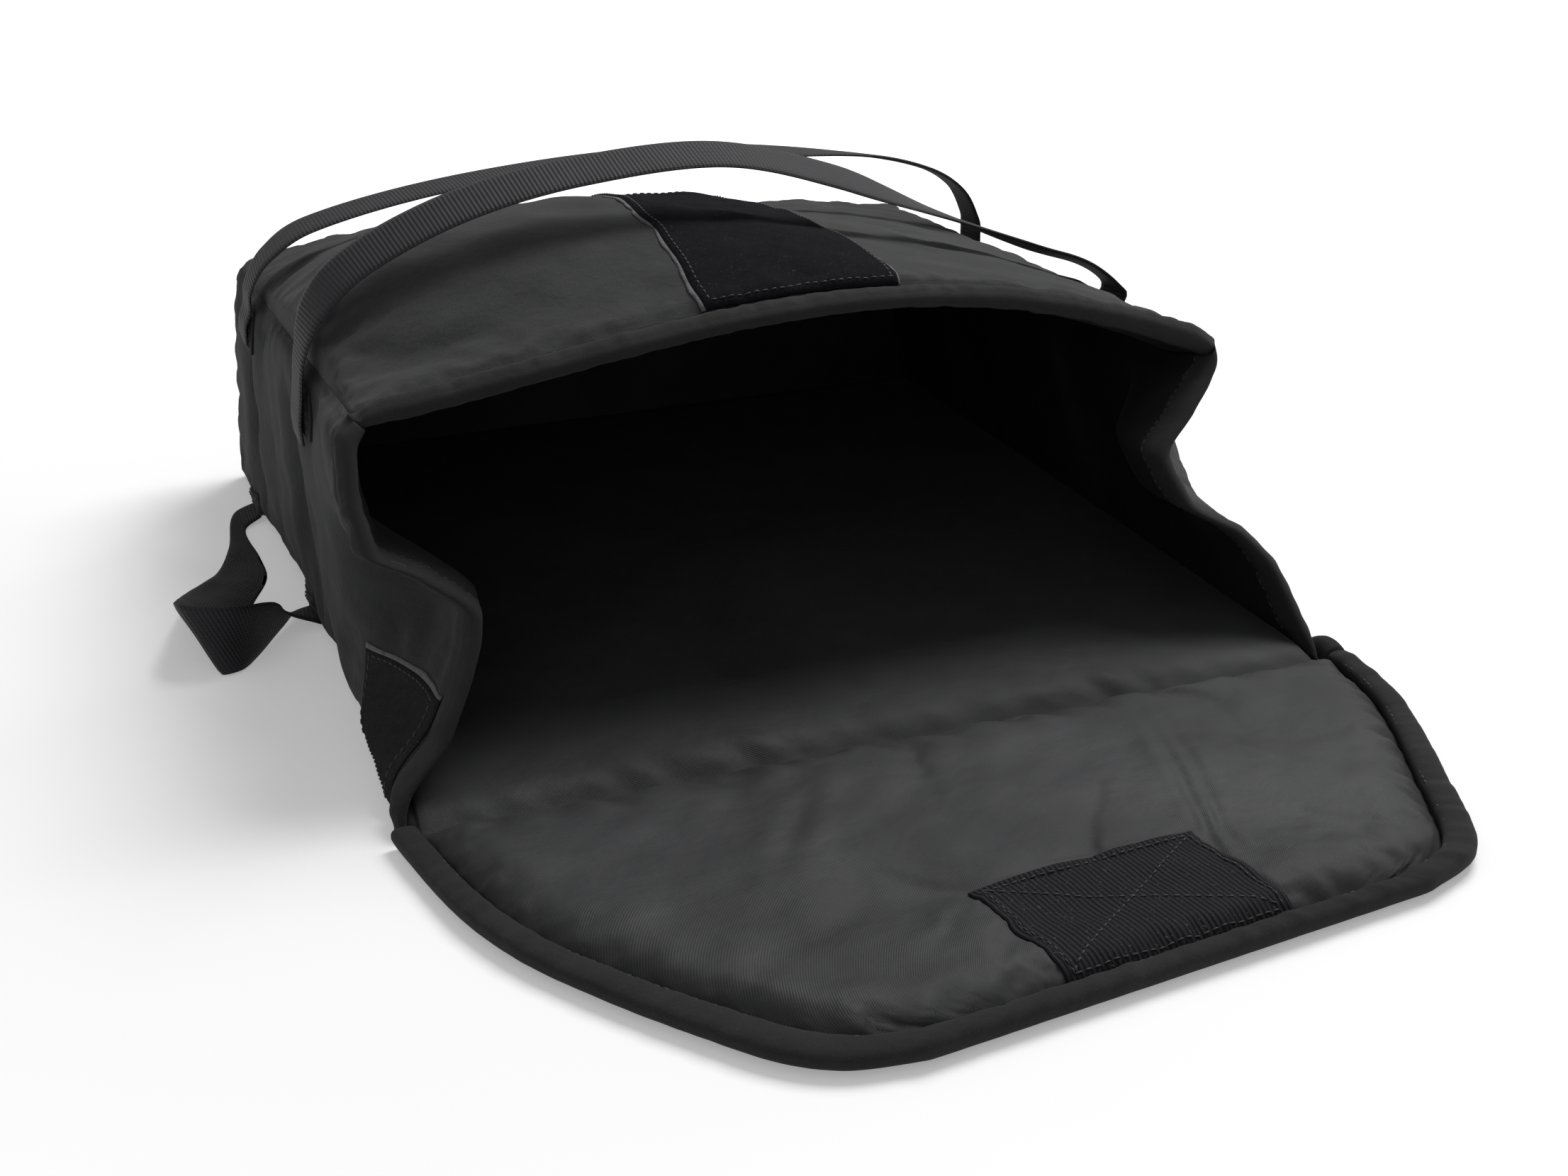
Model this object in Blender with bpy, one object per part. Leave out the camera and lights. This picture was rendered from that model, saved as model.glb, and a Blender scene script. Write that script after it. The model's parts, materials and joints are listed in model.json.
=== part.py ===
"""Soft insulated carrier for flat food boxes, lying open with its front flap down.

Metres, +Z up. The origin is the centre of the underside. +Y runs into the bag, so the
mouth looks along -Y and the flap lies in front of it. Every wall is three layers that
follow one shared surface: an outer fabric, a padding and a lining. A point on a wall is
found from two shares along the wall and a depth below its outer face, and neighbouring
walls share the same mitre line at every depth, so no two layers meet.
"""
import math

import bmesh
import bpy
from mathutils import Vector

# Start from an empty file
for leftover in list(bpy.data.objects):
    bpy.data.objects.remove(leftover, do_unlink=True)

# Main sizes of the bag
BODY_DEPTH = 0.530
HALF_WIDTH_BOTTOM = 0.245
HALF_WIDTH_TOP_FRONT = 0.232
HALF_WIDTH_TOP_BACK = 0.228
TOP_FRONT_LEFT = 0.170
TOP_FRONT_RIGHT = 0.152
TOP_BACK_LEFT = 0.142
TOP_BACK_RIGHT = 0.138
TOP_SETBACK = 0.107
SIDE_SETBACK = 0.010

# Layers of a wall, as depths below the outer face
WALL = 0.012
GAP = 0.0004
FABRIC = 0.0016
LAYERS = {
    "outer": (0.0, FABRIC),
    "padding": (FABRIC + GAP, WALL - FABRIC - GAP),
    "lining": (WALL - FABRIC, WALL),
}
SEAM_GAP = 0.0002
MITRE_SHARE = 0.12
MITRE_LINES = (0.04, 0.08, 0.12, 0.88, 0.92, 0.96)

# Rise of the top above the line between its side seams, as share of the depth and metres
DOME_RISE = ((0.0, 0.038), (0.35, 0.063), (0.74, 0.036), (1.0, 0.016))
DOME_LEAN = ((0.0, 1.30), (0.35, 0.60), (1.0, 0.80))
DOME_FULLNESS = 0.88

# Side walls: soft billows, two creases, and the fold that leans into the mouth
BILLOW = 0.005
BILLOW_FULLNESS = 0.80
CREASE_SHARES = (0.44, 0.80)
CREASE_DEPTH = 0.006
CREASE_WIDTH = 0.035
FOLD_REACH = 0.16
FOLD_LEFT = ((0.0, 0.0), (0.10, 0.004), (0.22, 0.024), (0.48, 0.044), (0.70, 0.0), (1.0, 0.0))
FOLD_RIGHT = (
    (0.0, 0.0), (0.28, 0.002), (0.42, 0.016), (0.54, 0.044), (0.67, 0.050),
    (0.80, 0.028), (0.93, 0.005), (1.0, 0.0),
)

# Back wall bulge and the plump front band of the floor
BACK_BULGE = 0.008
BAND_RISE = 0.007
BAND_SHARE = 0.17
BAND_FULLNESS = 0.60

# Binding tape folded over each edge of the mouth
TAPE = 0.0012
TAPE_LEG = 0.0125
TAPE_NOSE = 0.0035
TAPE_GAP = 0.0007
TAPE_SHARE = TAPE_LEG / (BODY_DEPTH - TOP_SETBACK)
SIDE_TAPE_START = 0.12

# Pile strip on top, pile patches on the sides
PILE = 0.0015
STRIP_SHARES = (0.388, 0.612)
STRIP_START = 0.036
STRIP_END = 0.70
PATCH_ALONG = (0.07, 0.19)
PATCH_UP = (0.04, 0.30)

# Webbing handles
WEB = 0.0024
WEB_WIDTH = 0.030
TAB_UP = (0.78, 0.92)
FRONT_TAB_ALONG = (0.261, 0.330)
REAR_TAB_ALONG = (0.711, 0.781)
HANDLE_AXIS_Z = 0.134
HANDLE_END_Z = 0.124
HANDLE_SWEEP_Z = 0.1195
TAB_SAMPLES = 13
SIDE_TAB_UP = (0.02, 0.12)
SIDE_TAB_ALONG_FRONT = (0.466, 0.524)
SIDE_TAB_ALONG_BACK = (0.816, 0.874)
SIDE_AXIS_Z = 0.0055

# Arches of the two carrying handles: share across the bag, height above the ground
FRONT_ARCH = (
    (0.010, 0.170), (0.030, 0.194), (0.08, 0.214), (0.19, 0.231), (0.32, 0.243),
    (0.48, 0.249), (0.62, 0.235), (0.76, 0.213), (0.88, 0.190), (0.955, 0.176), (0.990, 0.159),
)
REAR_ARCH = (
    (0.008, 0.160), (0.030, 0.181), (0.09, 0.196), (0.25, 0.204), (0.45, 0.209),
    (0.65, 0.206), (0.82, 0.198), (0.92, 0.186), (0.970, 0.171), (0.992, 0.152),
)

# Side handle: both edges of the strap, as out from the wall, along the bag, above the ground.
# It lies on the ground behind, stands up at a diagonal fold and twists flat at its front end.
SIDE_LOOP_OUTER = (
    (0.010, 0.455, 0.0020), (0.023, 0.400, 0.0010), (0.037, 0.360, 0.0020), (0.058, 0.324, 0.0080),
    (0.069, 0.275, 0.0240), (0.072, 0.237, 0.0360), (0.053, 0.226, 0.0355), (0.034, 0.224, 0.0340),
    (0.021, 0.232, 0.0290), (0.0135, 0.246, 0.0205), (0.006, 0.2515, 0.0100),
)
SIDE_LOOP_INNER = (
    (0.008, 0.424, 0.0020), (0.008, 0.378, 0.0008), (0.010, 0.342, 0.0008), (0.022, 0.304, 0.0008),
    (0.038, 0.258, 0.0008), (0.054, 0.219, 0.0010), (0.041, 0.213, 0.0010), (0.028, 0.216, 0.0010),
    (0.015, 0.236, 0.0020), (0.007, 0.268, 0.0060), (0.004, 0.2800, 0.0060),
)

# Flap: length, half width at shares of that length, reach of its left and right side, thickness
FLAP_LENGTH = 0.245
FLAP_LEFT = (
    (0.0, 0.247), (0.27, 0.234), (0.43, 0.220), (0.60, 0.196),
    (0.79, 0.164), (0.90, 0.143), (0.966, 0.121), (1.0, 0.092),
)
FLAP_RIGHT = (
    (0.0, 0.254), (0.083, 0.2535), (0.247, 0.248), (0.40, 0.238), (0.534, 0.227),
    (0.662, 0.216), (0.784, 0.206), (0.893, 0.195), (0.955, 0.184), (1.0, 0.155),
)
FLAP_LAY = (1.033, 0.793)
FLAP_PAD = 0.013
FLAP_SKIN = 0.0016
FLAP_LAYERS = {
    "outer": (0.0, FLAP_SKIN),
    "padding": (FLAP_SKIN + GAP, FLAP_PAD - FLAP_SKIN - GAP),
    "lining": (FLAP_PAD - FLAP_SKIN, FLAP_PAD),
}
FLAP_EDGE_THICKNESS = 0.60
FLAP_FOLD = 0.582 * FLAP_LENGTH
HINGE_GAP = 0.0004
WELT_WIDTH = 0.0125
WELT_HEIGHT = 0.010
WELT_GAP = 0.0008
HOOK_ALONG = (0.645 * FLAP_LENGTH, 0.930 * FLAP_LENGTH)
HOOK_HALF = 0.052
HOOK_SHIFT = 0.019
HOOK_SHARE = 0.30

# Row and column lines, shared by every layer of a wall and by what is sewn to it
SIDE_ALONG = tuple(sorted((
    0.0, TAPE_SHARE, 0.12, 0.40, 0.62, 1.0, *PATCH_ALONG, *FRONT_TAB_ALONG, *REAR_TAB_ALONG,
    *SIDE_TAB_ALONG_FRONT, *SIDE_TAB_ALONG_BACK,
)))
SIDE_UP = tuple(sorted({
    0.0, SIDE_TAPE_START, 0.22, 0.42, 0.54, 0.66, 1.0, *MITRE_LINES, *PATCH_UP, *TAB_UP, *SIDE_TAB_UP,
}))
TOP_ALONG = tuple(sorted((0.0, TAPE_SHARE, 0.13, 0.25, 0.38, 0.54, 0.85, 1.0, STRIP_START, STRIP_END)))
TOP_ACROSS = tuple(sorted((0.0, 0.03, 0.08, 0.17, 0.28, 0.5, 0.72, 0.83, 0.92, 0.97, 1.0, *STRIP_SHARES)))
FLOOR_ALONG = (0.0, 0.03, 0.075, 0.12, 0.17, 0.6, 1.0)
FLOOR_ACROSS = (0.0, 0.04, 0.14, 0.5, 0.86, 0.96, 1.0)
BACK_UP = tuple(sorted((0.0, 0.35, 0.65, 1.0, *MITRE_LINES)))
FLAP_ACROSS = (-1.0, -0.93, -0.75, -0.5, -HOOK_SHARE, 0.0, HOOK_SHARE, 0.5, 0.75, 0.93, 1.0)
FLAP_FRONT_ROWS = (
    HINGE_GAP, 0.082 * FLAP_LENGTH, 0.245 * FLAP_LENGTH, 0.408 * FLAP_LENGTH, FLAP_FOLD - SEAM_GAP,
)
FLAP_TIP_ROWS = (
    FLAP_FOLD + SEAM_GAP, HOOK_ALONG[0], 0.735 * FLAP_LENGTH, 0.816 * FLAP_LENGTH,
    0.869 * FLAP_LENGTH, HOOK_ALONG[1],
)

# Materials, one Principled shader per colour family
COLOURS = {
    "outer_fabric": ((0.045, 0.047, 0.046), 0.85),
    "padding": ((0.60, 0.60, 0.58), 0.95),
    "lining_fabric": ((0.050, 0.051, 0.053), 0.75),
    "binding_tape": ((0.020, 0.020, 0.021), 0.80),
    "webbing": ((0.016, 0.016, 0.018), 0.70),
    "pile_tape": ((0.013, 0.013, 0.015), 0.95),
    "hook_tape": ((0.012, 0.012, 0.014), 0.80),
}

# Collections
parts = bpy.data.collections.new("pizza_delivery_bag")
bpy.context.scene.collection.children.link(parts)


def material(slot):
    """One Principled material per colour family."""
    found = bpy.data.materials.get(slot)
    if found:
        return found
    made = bpy.data.materials.new(slot)
    made.use_nodes = True
    shader = made.node_tree.nodes["Principled BSDF"]
    colour, roughness = COLOURS[slot]
    shader.inputs["Base Color"].default_value = (*colour, 1.0)
    shader.inputs["Roughness"].default_value = roughness
    made.diffuse_color = (*colour, 1.0)
    return made


def mix(low, high, share):
    """Straight line between two numbers."""
    return low + (high - low) * share


def track(points, at):
    """Smooth curve through a few chosen points, without overshoot."""
    if at <= points[0][0]:
        return points[0][1]
    if at >= points[-1][0]:
        return points[-1][1]
    steps = [
        (second[1] - first[1]) / (second[0] - first[0])
        for first, second in zip(points, points[1:])
    ]
    slopes = [steps[0]]
    for before, after in zip(steps, steps[1:]):
        slopes.append(0.0 if before * after <= 0 else 2 * before * after / (before + after))
    slopes.append(steps[-1])
    for index, (first, second) in enumerate(zip(points, points[1:])):
        if at <= second[0]:
            span = second[0] - first[0]
            t = (at - first[0]) / span
            start = (2 * t**3 - 3 * t**2 + 1) * first[1] + (t**3 - 2 * t**2 + t) * span * slopes[index]
            end = (3 * t**2 - 2 * t**3) * second[1] + (t**3 - t**2) * span * slopes[index + 1]
            return start + end
    return points[-1][1]


def arc(share):
    """Half a sine wave, held at zero outside its span."""
    return max(math.sin(math.pi * min(max(share, 0.0), 1.0)), 0.0)


def placed(x, y, z):
    """Move from the hinge line to the centre of the underside."""
    return (x, y - BODY_DEPTH / 2, z)


# Shape of the walls
def seam_point(side, along, depth):
    """Top seam of a side: half width, distance from the hinge line, height."""
    front = TOP_FRONT_LEFT if side < 0 else TOP_FRONT_RIGHT
    back = TOP_BACK_LEFT if side < 0 else TOP_BACK_RIGHT
    half = mix(HALF_WIDTH_TOP_FRONT, HALF_WIDTH_TOP_BACK, along) - depth
    return half, mix(TOP_SETBACK, BODY_DEPTH - depth, along), mix(front, back, along) - depth


def mitre(up):
    """How far a layer steps in from the floor (1) or from the top (-1) at a height share."""
    return max(1.0 - up / MITRE_SHARE, 0.0) - max(1.0 - (1.0 - up) / MITRE_SHARE, 0.0)


def side_wall(side):
    """Side wall with its billows, its two creases and the fold into the mouth."""
    fold = FOLD_LEFT if side < 0 else FOLD_RIGHT

    def point(along, up, depth):
        half, top_y, top_z = seam_point(side, along, depth)
        foot_y = mix(SIDE_SETBACK, BODY_DEPTH - depth, along)
        x = mix(HALF_WIDTH_BOTTOM - depth, half, up)
        z = (top_z + depth) * up + depth * mitre(up)
        y = mix(foot_y, top_y, z / (top_z + depth))
        puff = arc(up) ** BILLOW_FULLNESS * arc(min(along, 0.5) if along < 0.5 else along)
        crease = sum(math.exp(-(((along - at) / CREASE_WIDTH) ** 2)) for at in CREASE_SHARES)
        x += puff * BILLOW - arc(up) ** 2 * crease * CREASE_DEPTH
        x -= track(fold, up) * math.exp(-((max(along - TAPE_SHARE, 0.0) / FOLD_REACH) ** 2))
        return placed(side * x, y, z)

    return point


def top_wall(along, across, depth):
    """Domed top between the two side seams."""
    left_half, y, left_z = seam_point(-1, along, depth)
    right_half, y, right_z = seam_point(1, along, depth)
    lean = track(DOME_LEAN, along)
    crown = arc(min(max(across, 0.0), 1.0) ** lean) ** DOME_FULLNESS
    rise = track(DOME_RISE, along) * crown
    return placed(mix(-left_half, right_half, across), y, mix(left_z, right_z, across) + rise)


def floor_wall(along, across, depth):
    """Flat underside, with a plump band along the front of the inner face."""
    half = HALF_WIDTH_BOTTOM - depth
    plump = arc(along / BAND_SHARE) * arc(across) ** BAND_FULLNESS * BAND_RISE
    return placed(
        mix(-half, half, across),
        mix(0.0, BODY_DEPTH - depth, along),
        depth * (1.0 + plump / WALL),
    )


def back_wall(across, up, depth):
    """Back wall from the floor to the rear edge of the top."""
    half = HALF_WIDTH_BOTTOM - depth
    x_top, y_top, z_top = top_wall(1.0, across, depth)
    x = mix(mix(-half, half, across), x_top, up)
    bulge = BACK_BULGE * arc(across) * arc(up)
    return (x, y_top + bulge, (z_top + depth) * up + depth * mitre(up))


# Shape of the flap
def flap_half(reach, inset, side):
    """Half width of the flap at a distance from the hinge, inside an inset outline."""
    outline = FLAP_LEFT if side < 0 else FLAP_RIGHT
    return track(outline, reach / (FLAP_LENGTH - inset)) - inset


def flap_place(reach, x, height):
    """The soft flap lies askew: its right side reaches less far from the hinge than its left."""
    lay = mix(*FLAP_LAY, (x / HALF_WIDTH_BOTTOM + 1.0) / 2)
    return placed(x, -reach * lay, height)


def flap_point(reach, across, depth, inset=WELT_WIDTH + WELT_GAP):
    """Flap surface: columns under the hook patch stay straight."""
    if abs(across) <= HOOK_SHARE:
        x = HOOK_SHIFT + across / HOOK_SHARE * HOOK_HALF
    else:
        outer = (abs(across) - HOOK_SHARE) / (1.0 - HOOK_SHARE)
        side = math.copysign(1.0, across)
        x = mix(HOOK_SHIFT + side * HOOK_HALF, side * flap_half(reach, inset, side), outer)
    edge = max(abs(across) ** 6, (reach / (FLAP_LENGTH - inset)) ** 14, (1 - reach / FLAP_LENGTH) ** 14)
    top = FLAP_PAD * mix(1.0, FLAP_EDGE_THICKNESS, edge)
    height = depth / FLAP_PAD * top if depth <= FLAP_PAD else top + depth - FLAP_PAD
    return flap_place(reach, x, height)


# Building tools
def finish(name, mesh_data, slot, pivot=None):
    """Close the bmesh, face it outwards and link it as one named object."""
    bmesh.ops.recalc_face_normals(mesh_data, faces=mesh_data.faces[:])
    if mesh_data.calc_volume(signed=True) < 0:
        bmesh.ops.reverse_faces(mesh_data, faces=mesh_data.faces[:])
    mesh = bpy.data.meshes.new(name)
    mesh_data.to_mesh(mesh)
    mesh_data.free()
    mesh.materials.append(material(slot))
    made = bpy.data.objects.new(name, mesh)
    parts.objects.link(made)
    if pivot:
        for vertex in mesh.vertices:
            vertex.co = [value - centre for value, centre in zip(vertex.co, pivot)]
        made.location = pivot
    return made


def layer(name, surface, rows, columns, depths, slot, pivot=None):
    """A sheet with thickness: a subdivided grid laid on a surface and extruded in depth."""
    data = bmesh.new()
    bmesh.ops.create_grid(data, x_segments=len(rows) - 1, y_segments=len(columns) - 1, size=0.5)
    bmesh.ops.triangulate(data, faces=data.faces[:], quad_method="FIXED")
    shares = {}
    for vertex in data.verts:
        row = round((vertex.co.x + 0.5) * (len(rows) - 1))
        column = round((vertex.co.y + 0.5) * (len(columns) - 1))
        shares[vertex] = (rows[row], columns[column])
    grown = bmesh.ops.extrude_face_region(data, geom=data.faces[:])
    lifted = [item for item in grown["geom"] if isinstance(item, bmesh.types.BMVert)]
    near = {(round(v.co.x, 5), round(v.co.y, 5)): share for v, share in shares.items()}
    for vertex in lifted:
        row, column = near[(round(vertex.co.x, 5), round(vertex.co.y, 5))]
        vertex.co = surface(row, column, depths[1])
    for vertex, (row, column) in shares.items():
        vertex.co = surface(row, column, depths[0])
    return finish(name, data, slot, pivot)


def sweep(name, stations, slot, pivot=None):
    """A closed outline carried through a list of stations and capped at both ends."""
    data = bmesh.new()
    first = [data.verts.new(point) for point in stations[0]]
    ring = [data.edges.new((a, b)) for a, b in zip(first, first[1:] + first[:1])]
    bmesh.ops.contextual_create(data, geom=ring)
    order = first
    for station in stations[1:]:
        grown = bmesh.ops.extrude_edge_only(data, edges=ring)
        new_edges = [item for item in grown["geom"] if isinstance(item, bmesh.types.BMEdge)]
        moved = {}
        for vertex in order:
            for edge in vertex.link_edges:
                other = edge.other_vert(vertex)
                if other not in order and other in {v for e in new_edges for v in e.verts}:
                    moved[vertex] = other
        order = [moved[vertex] for vertex in order]
        for vertex, point in zip(order, station):
            vertex.co = point
        kept = set(order)
        ring = [edge for edge in new_edges if set(edge.verts) <= kept]
    bmesh.ops.contextual_create(data, geom=ring)
    return finish(name, data, slot, pivot)


def inner_lines(lines, gap_share):
    """Row lines with a thin seam gap kept at both ends."""
    return (lines[0] + gap_share,) + tuple(lines[1:-1]) + (lines[-1] - gap_share,)


# Walls: three layers each
ALONG_GAP = SEAM_GAP / BODY_DEPTH
UP_GAP = SEAM_GAP / TOP_FRONT_RIGHT
ACROSS_GAP = SEAM_GAP / HALF_WIDTH_TOP_BACK / 2
for kind, depths in LAYERS.items():
    slot = {"outer": "outer_fabric", "padding": "padding", "lining": "lining_fabric"}[kind]
    rows = SIDE_ALONG[:-1] + (1.0 - ALONG_GAP,)
    layer(f"left_{kind}", side_wall(-1), rows, inner_lines(SIDE_UP, UP_GAP), depths, slot)
    layer(f"right_{kind}", side_wall(1), rows, inner_lines(SIDE_UP, UP_GAP), depths, slot)
    rows = TOP_ALONG[:-1] + (1.0 - ALONG_GAP,)
    layer(f"top_{kind}", top_wall, rows, inner_lines(TOP_ACROSS, ACROSS_GAP), depths, slot)
    rows = FLOOR_ALONG[:-1] + (1.0 - ALONG_GAP,)
    layer(f"bottom_{kind}", floor_wall, rows, inner_lines(FLOOR_ACROSS, ACROSS_GAP), depths, slot)
    rows = inner_lines(TOP_ACROSS, ACROSS_GAP)
    layer(f"back_{kind}", back_wall, rows, inner_lines(BACK_UP, UP_GAP), depths, slot)


# Binding tape over the three edges of the mouth
def tape_outline():
    """Folded tape in section: distance behind the edge, and depth below the outer face."""
    inner = WALL + TAPE_GAP
    outer = -TAPE_GAP
    return (
        (TAPE_LEG, outer), (-GAP, outer), (-GAP, inner), (TAPE_LEG, inner),
        (TAPE_LEG, inner + TAPE), (0.0, inner + TAPE), (-TAPE_NOSE, WALL * 0.80),
        (-TAPE_NOSE, WALL * 0.20), (0.0, outer - TAPE), (TAPE_LEG, outer - TAPE),
    )


def tape_stations(surface, lines, length):
    """Carry the tape section along an edge, at the wall's own row lines."""
    stations = []
    for line in lines:
        stations.append([surface(behind / length, line, depth) for behind, depth in tape_outline()])
    return stations


MOUTH_RUN = BODY_DEPTH - TOP_SETBACK
across_lines = inner_lines(TOP_ACROSS, ACROSS_GAP)
up_lines = tuple(line for line in SIDE_UP if SIDE_TAPE_START <= line < 1.0) + (1.0 - UP_GAP,)
sweep("top_binding", tape_stations(top_wall, across_lines, MOUTH_RUN), "binding_tape")
sweep("left_binding", tape_stations(side_wall(-1), up_lines, MOUTH_RUN), "binding_tape")
sweep("right_binding", tape_stations(side_wall(1), up_lines, MOUTH_RUN), "binding_tape")


# Pile strip and patches, sewn to the outer fabric
def between(lines, limits):
    """The row lines that lie within two limits."""
    return tuple(line for line in lines if limits[0] <= line <= limits[1])


pile_depths = (-GAP - PILE, -GAP)
layer(
    "top_loop_strip", top_wall, between(TOP_ALONG, (STRIP_START, STRIP_END)),
    between(TOP_ACROSS, STRIP_SHARES), pile_depths, "pile_tape",
)
for side, name in ((-1, "left"), (1, "right")):
    layer(
        f"{name}_loop_patch", side_wall(side), between(SIDE_ALONG, PATCH_ALONG),
        between(SIDE_UP, PATCH_UP), pile_depths, "pile_tape",
    )

# Webbing tabs sewn to the side walls, where each handle begins
tab_depths = (-GAP - WEB, -GAP)
for side, name in ((-1, "left"), (1, "right")):
    for place, along in (("front", FRONT_TAB_ALONG), ("rear", REAR_TAB_ALONG)):
        layer(
            f"{place}_handle_tab_{name}", side_wall(side), between(SIDE_ALONG, along),
            between(SIDE_UP, TAB_UP), tab_depths, "webbing",
        )
for place, along in (("front", SIDE_TAB_ALONG_FRONT), ("back", SIDE_TAB_ALONG_BACK)):
    layer(
        f"side_handle_tab_{place}", side_wall(-1), between(SIDE_ALONG, along),
        between(SIDE_UP, SIDE_TAB_UP), tab_depths, "webbing",
    )


# Carrying handles: webbing arches that swing about their sewn ends
def ribbon_stations(path, half_width, thickness):
    """Flat webbing along a path in the plane across the bag: x and z with a level width."""
    stations = []
    for index, (x, y, z) in enumerate(path):
        before = path[max(index - 1, 0)]
        after = path[min(index + 1, len(path) - 1)]
        run = math.hypot(after[0] - before[0], after[2] - before[2])
        out = (-(after[2] - before[2]) / run, (after[0] - before[0]) / run)
        ring = []
        for wide, thick in ((-1, -1), (1, -1), (1, 1), (-1, 1)):
            push = thick * thickness / 2
            ring.append(placed(x + out[0] * push, y + wide * half_width, z + out[1] * push))
        stations.append(ring)
    return stations


def tab_face(side, along, up_limits, lowest=0.0):
    """Outermost x of a sewn tab above the lowest sweep of its webbing, and the middle of its run."""
    corners = [side_wall(side)(row, line, -GAP - WEB) for row in along for line in up_limits]
    middle_y = sum(point[1] for point in corners) / len(corners) + BODY_DEPTH / 2
    wall = side_wall(side)
    covered = []
    for step in range(TAB_SAMPLES):
        share = step / (TAB_SAMPLES - 1)
        run = []
        for up in between(SIDE_UP, up_limits):
            low, high = (wall(row, up, -GAP - WEB) for row in along)
            run.append([mix(start, end, share) for start, end in zip(low, high)])
        if abs(run[0][1] + BODY_DEPTH / 2 - middle_y) > WEB_WIDTH / 2:
            continue
        for below, above in zip(run, run[1:]):
            rise = min(max((lowest - below[2]) / (above[2] - below[2]), 0.0), 1.0)
            covered.append(abs(mix(below[0], above[0], rise)))
    return max(covered), middle_y


for place, along, arch in (
    ("front", FRONT_TAB_ALONG, FRONT_ARCH), ("rear", REAR_TAB_ALONG, REAR_ARCH),
):
    left_x, middle_y = tab_face(-1, along, TAB_UP, HANDLE_SWEEP_Z)
    right_x, middle_y = tab_face(1, along, TAB_UP, HANDLE_SWEEP_Z)
    left_x += GAP + WEB / 2
    right_x += GAP + WEB / 2
    path = [(-left_x, middle_y, HANDLE_END_Z), (-left_x, middle_y, mix(HANDLE_END_Z, arch[0][1], 0.55))]
    path += [(mix(-left_x, right_x, share), middle_y, height) for share, height in arch]
    path += [(right_x, middle_y, mix(HANDLE_END_Z, arch[-1][1], 0.55)), (right_x, middle_y, HANDLE_END_Z)]
    pivot = placed(0.0, middle_y, HANDLE_AXIS_Z)
    sweep(f"{place}_handle", ribbon_stations(path, WEB_WIDTH / 2, WEB), "webbing", pivot)

# Side handle: a webbing loop lying on the ground beside the bag
front_x, front_y = tab_face(-1, SIDE_TAB_ALONG_FRONT, SIDE_TAB_UP)
back_x, back_y = tab_face(-1, SIDE_TAB_ALONG_BACK, SIDE_TAB_UP)
side_reach = max(front_x, back_x) + GAP


def side_loop_stations():
    """Webbing from its rear tab out round the loop to its front tab, its thickness square to it."""
    outer = [Vector((-back_x - GAP, back_y + WEB_WIDTH / 2, SIDE_AXIS_Z - WEB / 2))]
    inner = [Vector((-back_x - GAP, back_y - WEB_WIDTH / 2, SIDE_AXIS_Z - WEB / 2))]
    outer += [Vector((-side_reach - out, along, up)) for out, along, up in SIDE_LOOP_OUTER]
    inner += [Vector((-side_reach - out, along, up)) for out, along, up in SIDE_LOOP_INNER]
    outer.append(Vector((-front_x - GAP, front_y - WEB_WIDTH / 2, SIDE_AXIS_Z - WEB / 2)))
    inner.append(Vector((-front_x - GAP, front_y + WEB_WIDTH / 2, SIDE_AXIS_Z - WEB / 2)))
    middles = [(far + near) / 2 for far, near in zip(outer, inner)]
    stations = []
    for index, (far, near) in enumerate(zip(outer, inner)):
        ahead = middles[min(index + 1, len(middles) - 1)] - middles[max(index - 1, 0)]
        thick = ahead.cross(near - far).normalized() * WEB
        if index in (0, len(outer) - 1):
            thick = Vector((0.0, 0.0, WEB))
        stations.append([placed(*point) for point in (far, near, near + thick, far + thick)])
    return stations


side_pivot = placed(-side_reach - WEB, (front_y + back_y) / 2, SIDE_AXIS_Z)
sweep("side_handle", side_loop_stations(), "webbing", side_pivot)

# Flap: front section on the hinge, tip section on the fold line
flap_pivot = placed(0.0, 0.0, WALL)
tip_pivot = flap_place(FLAP_FOLD, 0.0, FLAP_PAD)
for kind, depths in FLAP_LAYERS.items():
    slot = {"outer": "outer_fabric", "padding": "padding", "lining": "lining_fabric"}[kind]
    layer(f"flap_front_{kind}", flap_point, FLAP_FRONT_ROWS, FLAP_ACROSS, depths, slot, flap_pivot)
    end_row = FLAP_LENGTH - WELT_WIDTH - WELT_GAP
    tip_rows = FLAP_TIP_ROWS + (end_row,)
    layer(f"flap_tip_{kind}", flap_point, tip_rows, FLAP_ACROSS, depths, slot, tip_pivot)
layer(
    "hook_patch", flap_point, between(FLAP_TIP_ROWS, HOOK_ALONG),
    between(FLAP_ACROSS, (-HOOK_SHARE, HOOK_SHARE)),
    (FLAP_PAD + GAP, FLAP_PAD + GAP + PILE), "hook_tape", tip_pivot,
)


# Rounded welt around the flap
def welt_ring(reach_of, side_share):
    """Section of the welt at one station: inset from the outline, and height."""
    ring = []
    for inset_share, height_share in (
        (1.0, 0.0), (0.20, 0.0), (0.0, 0.35), (0.08, 0.72), (0.35, 1.0), (0.75, 1.0), (1.0, 0.75),
    ):
        inset = inset_share * WELT_WIDTH
        reach = reach_of(inset)
        x = mix(-flap_half(reach, inset, -1), flap_half(reach, inset, 1), (side_share + 1) / 2)
        ring.append(flap_place(reach, x, height_share * WELT_HEIGHT))
    return ring


def side_reach_of(start, share):
    """Distance from the hinge at a share of the run from a start line to the tip."""
    return lambda inset: mix(start, FLAP_LENGTH - inset, share)


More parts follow.
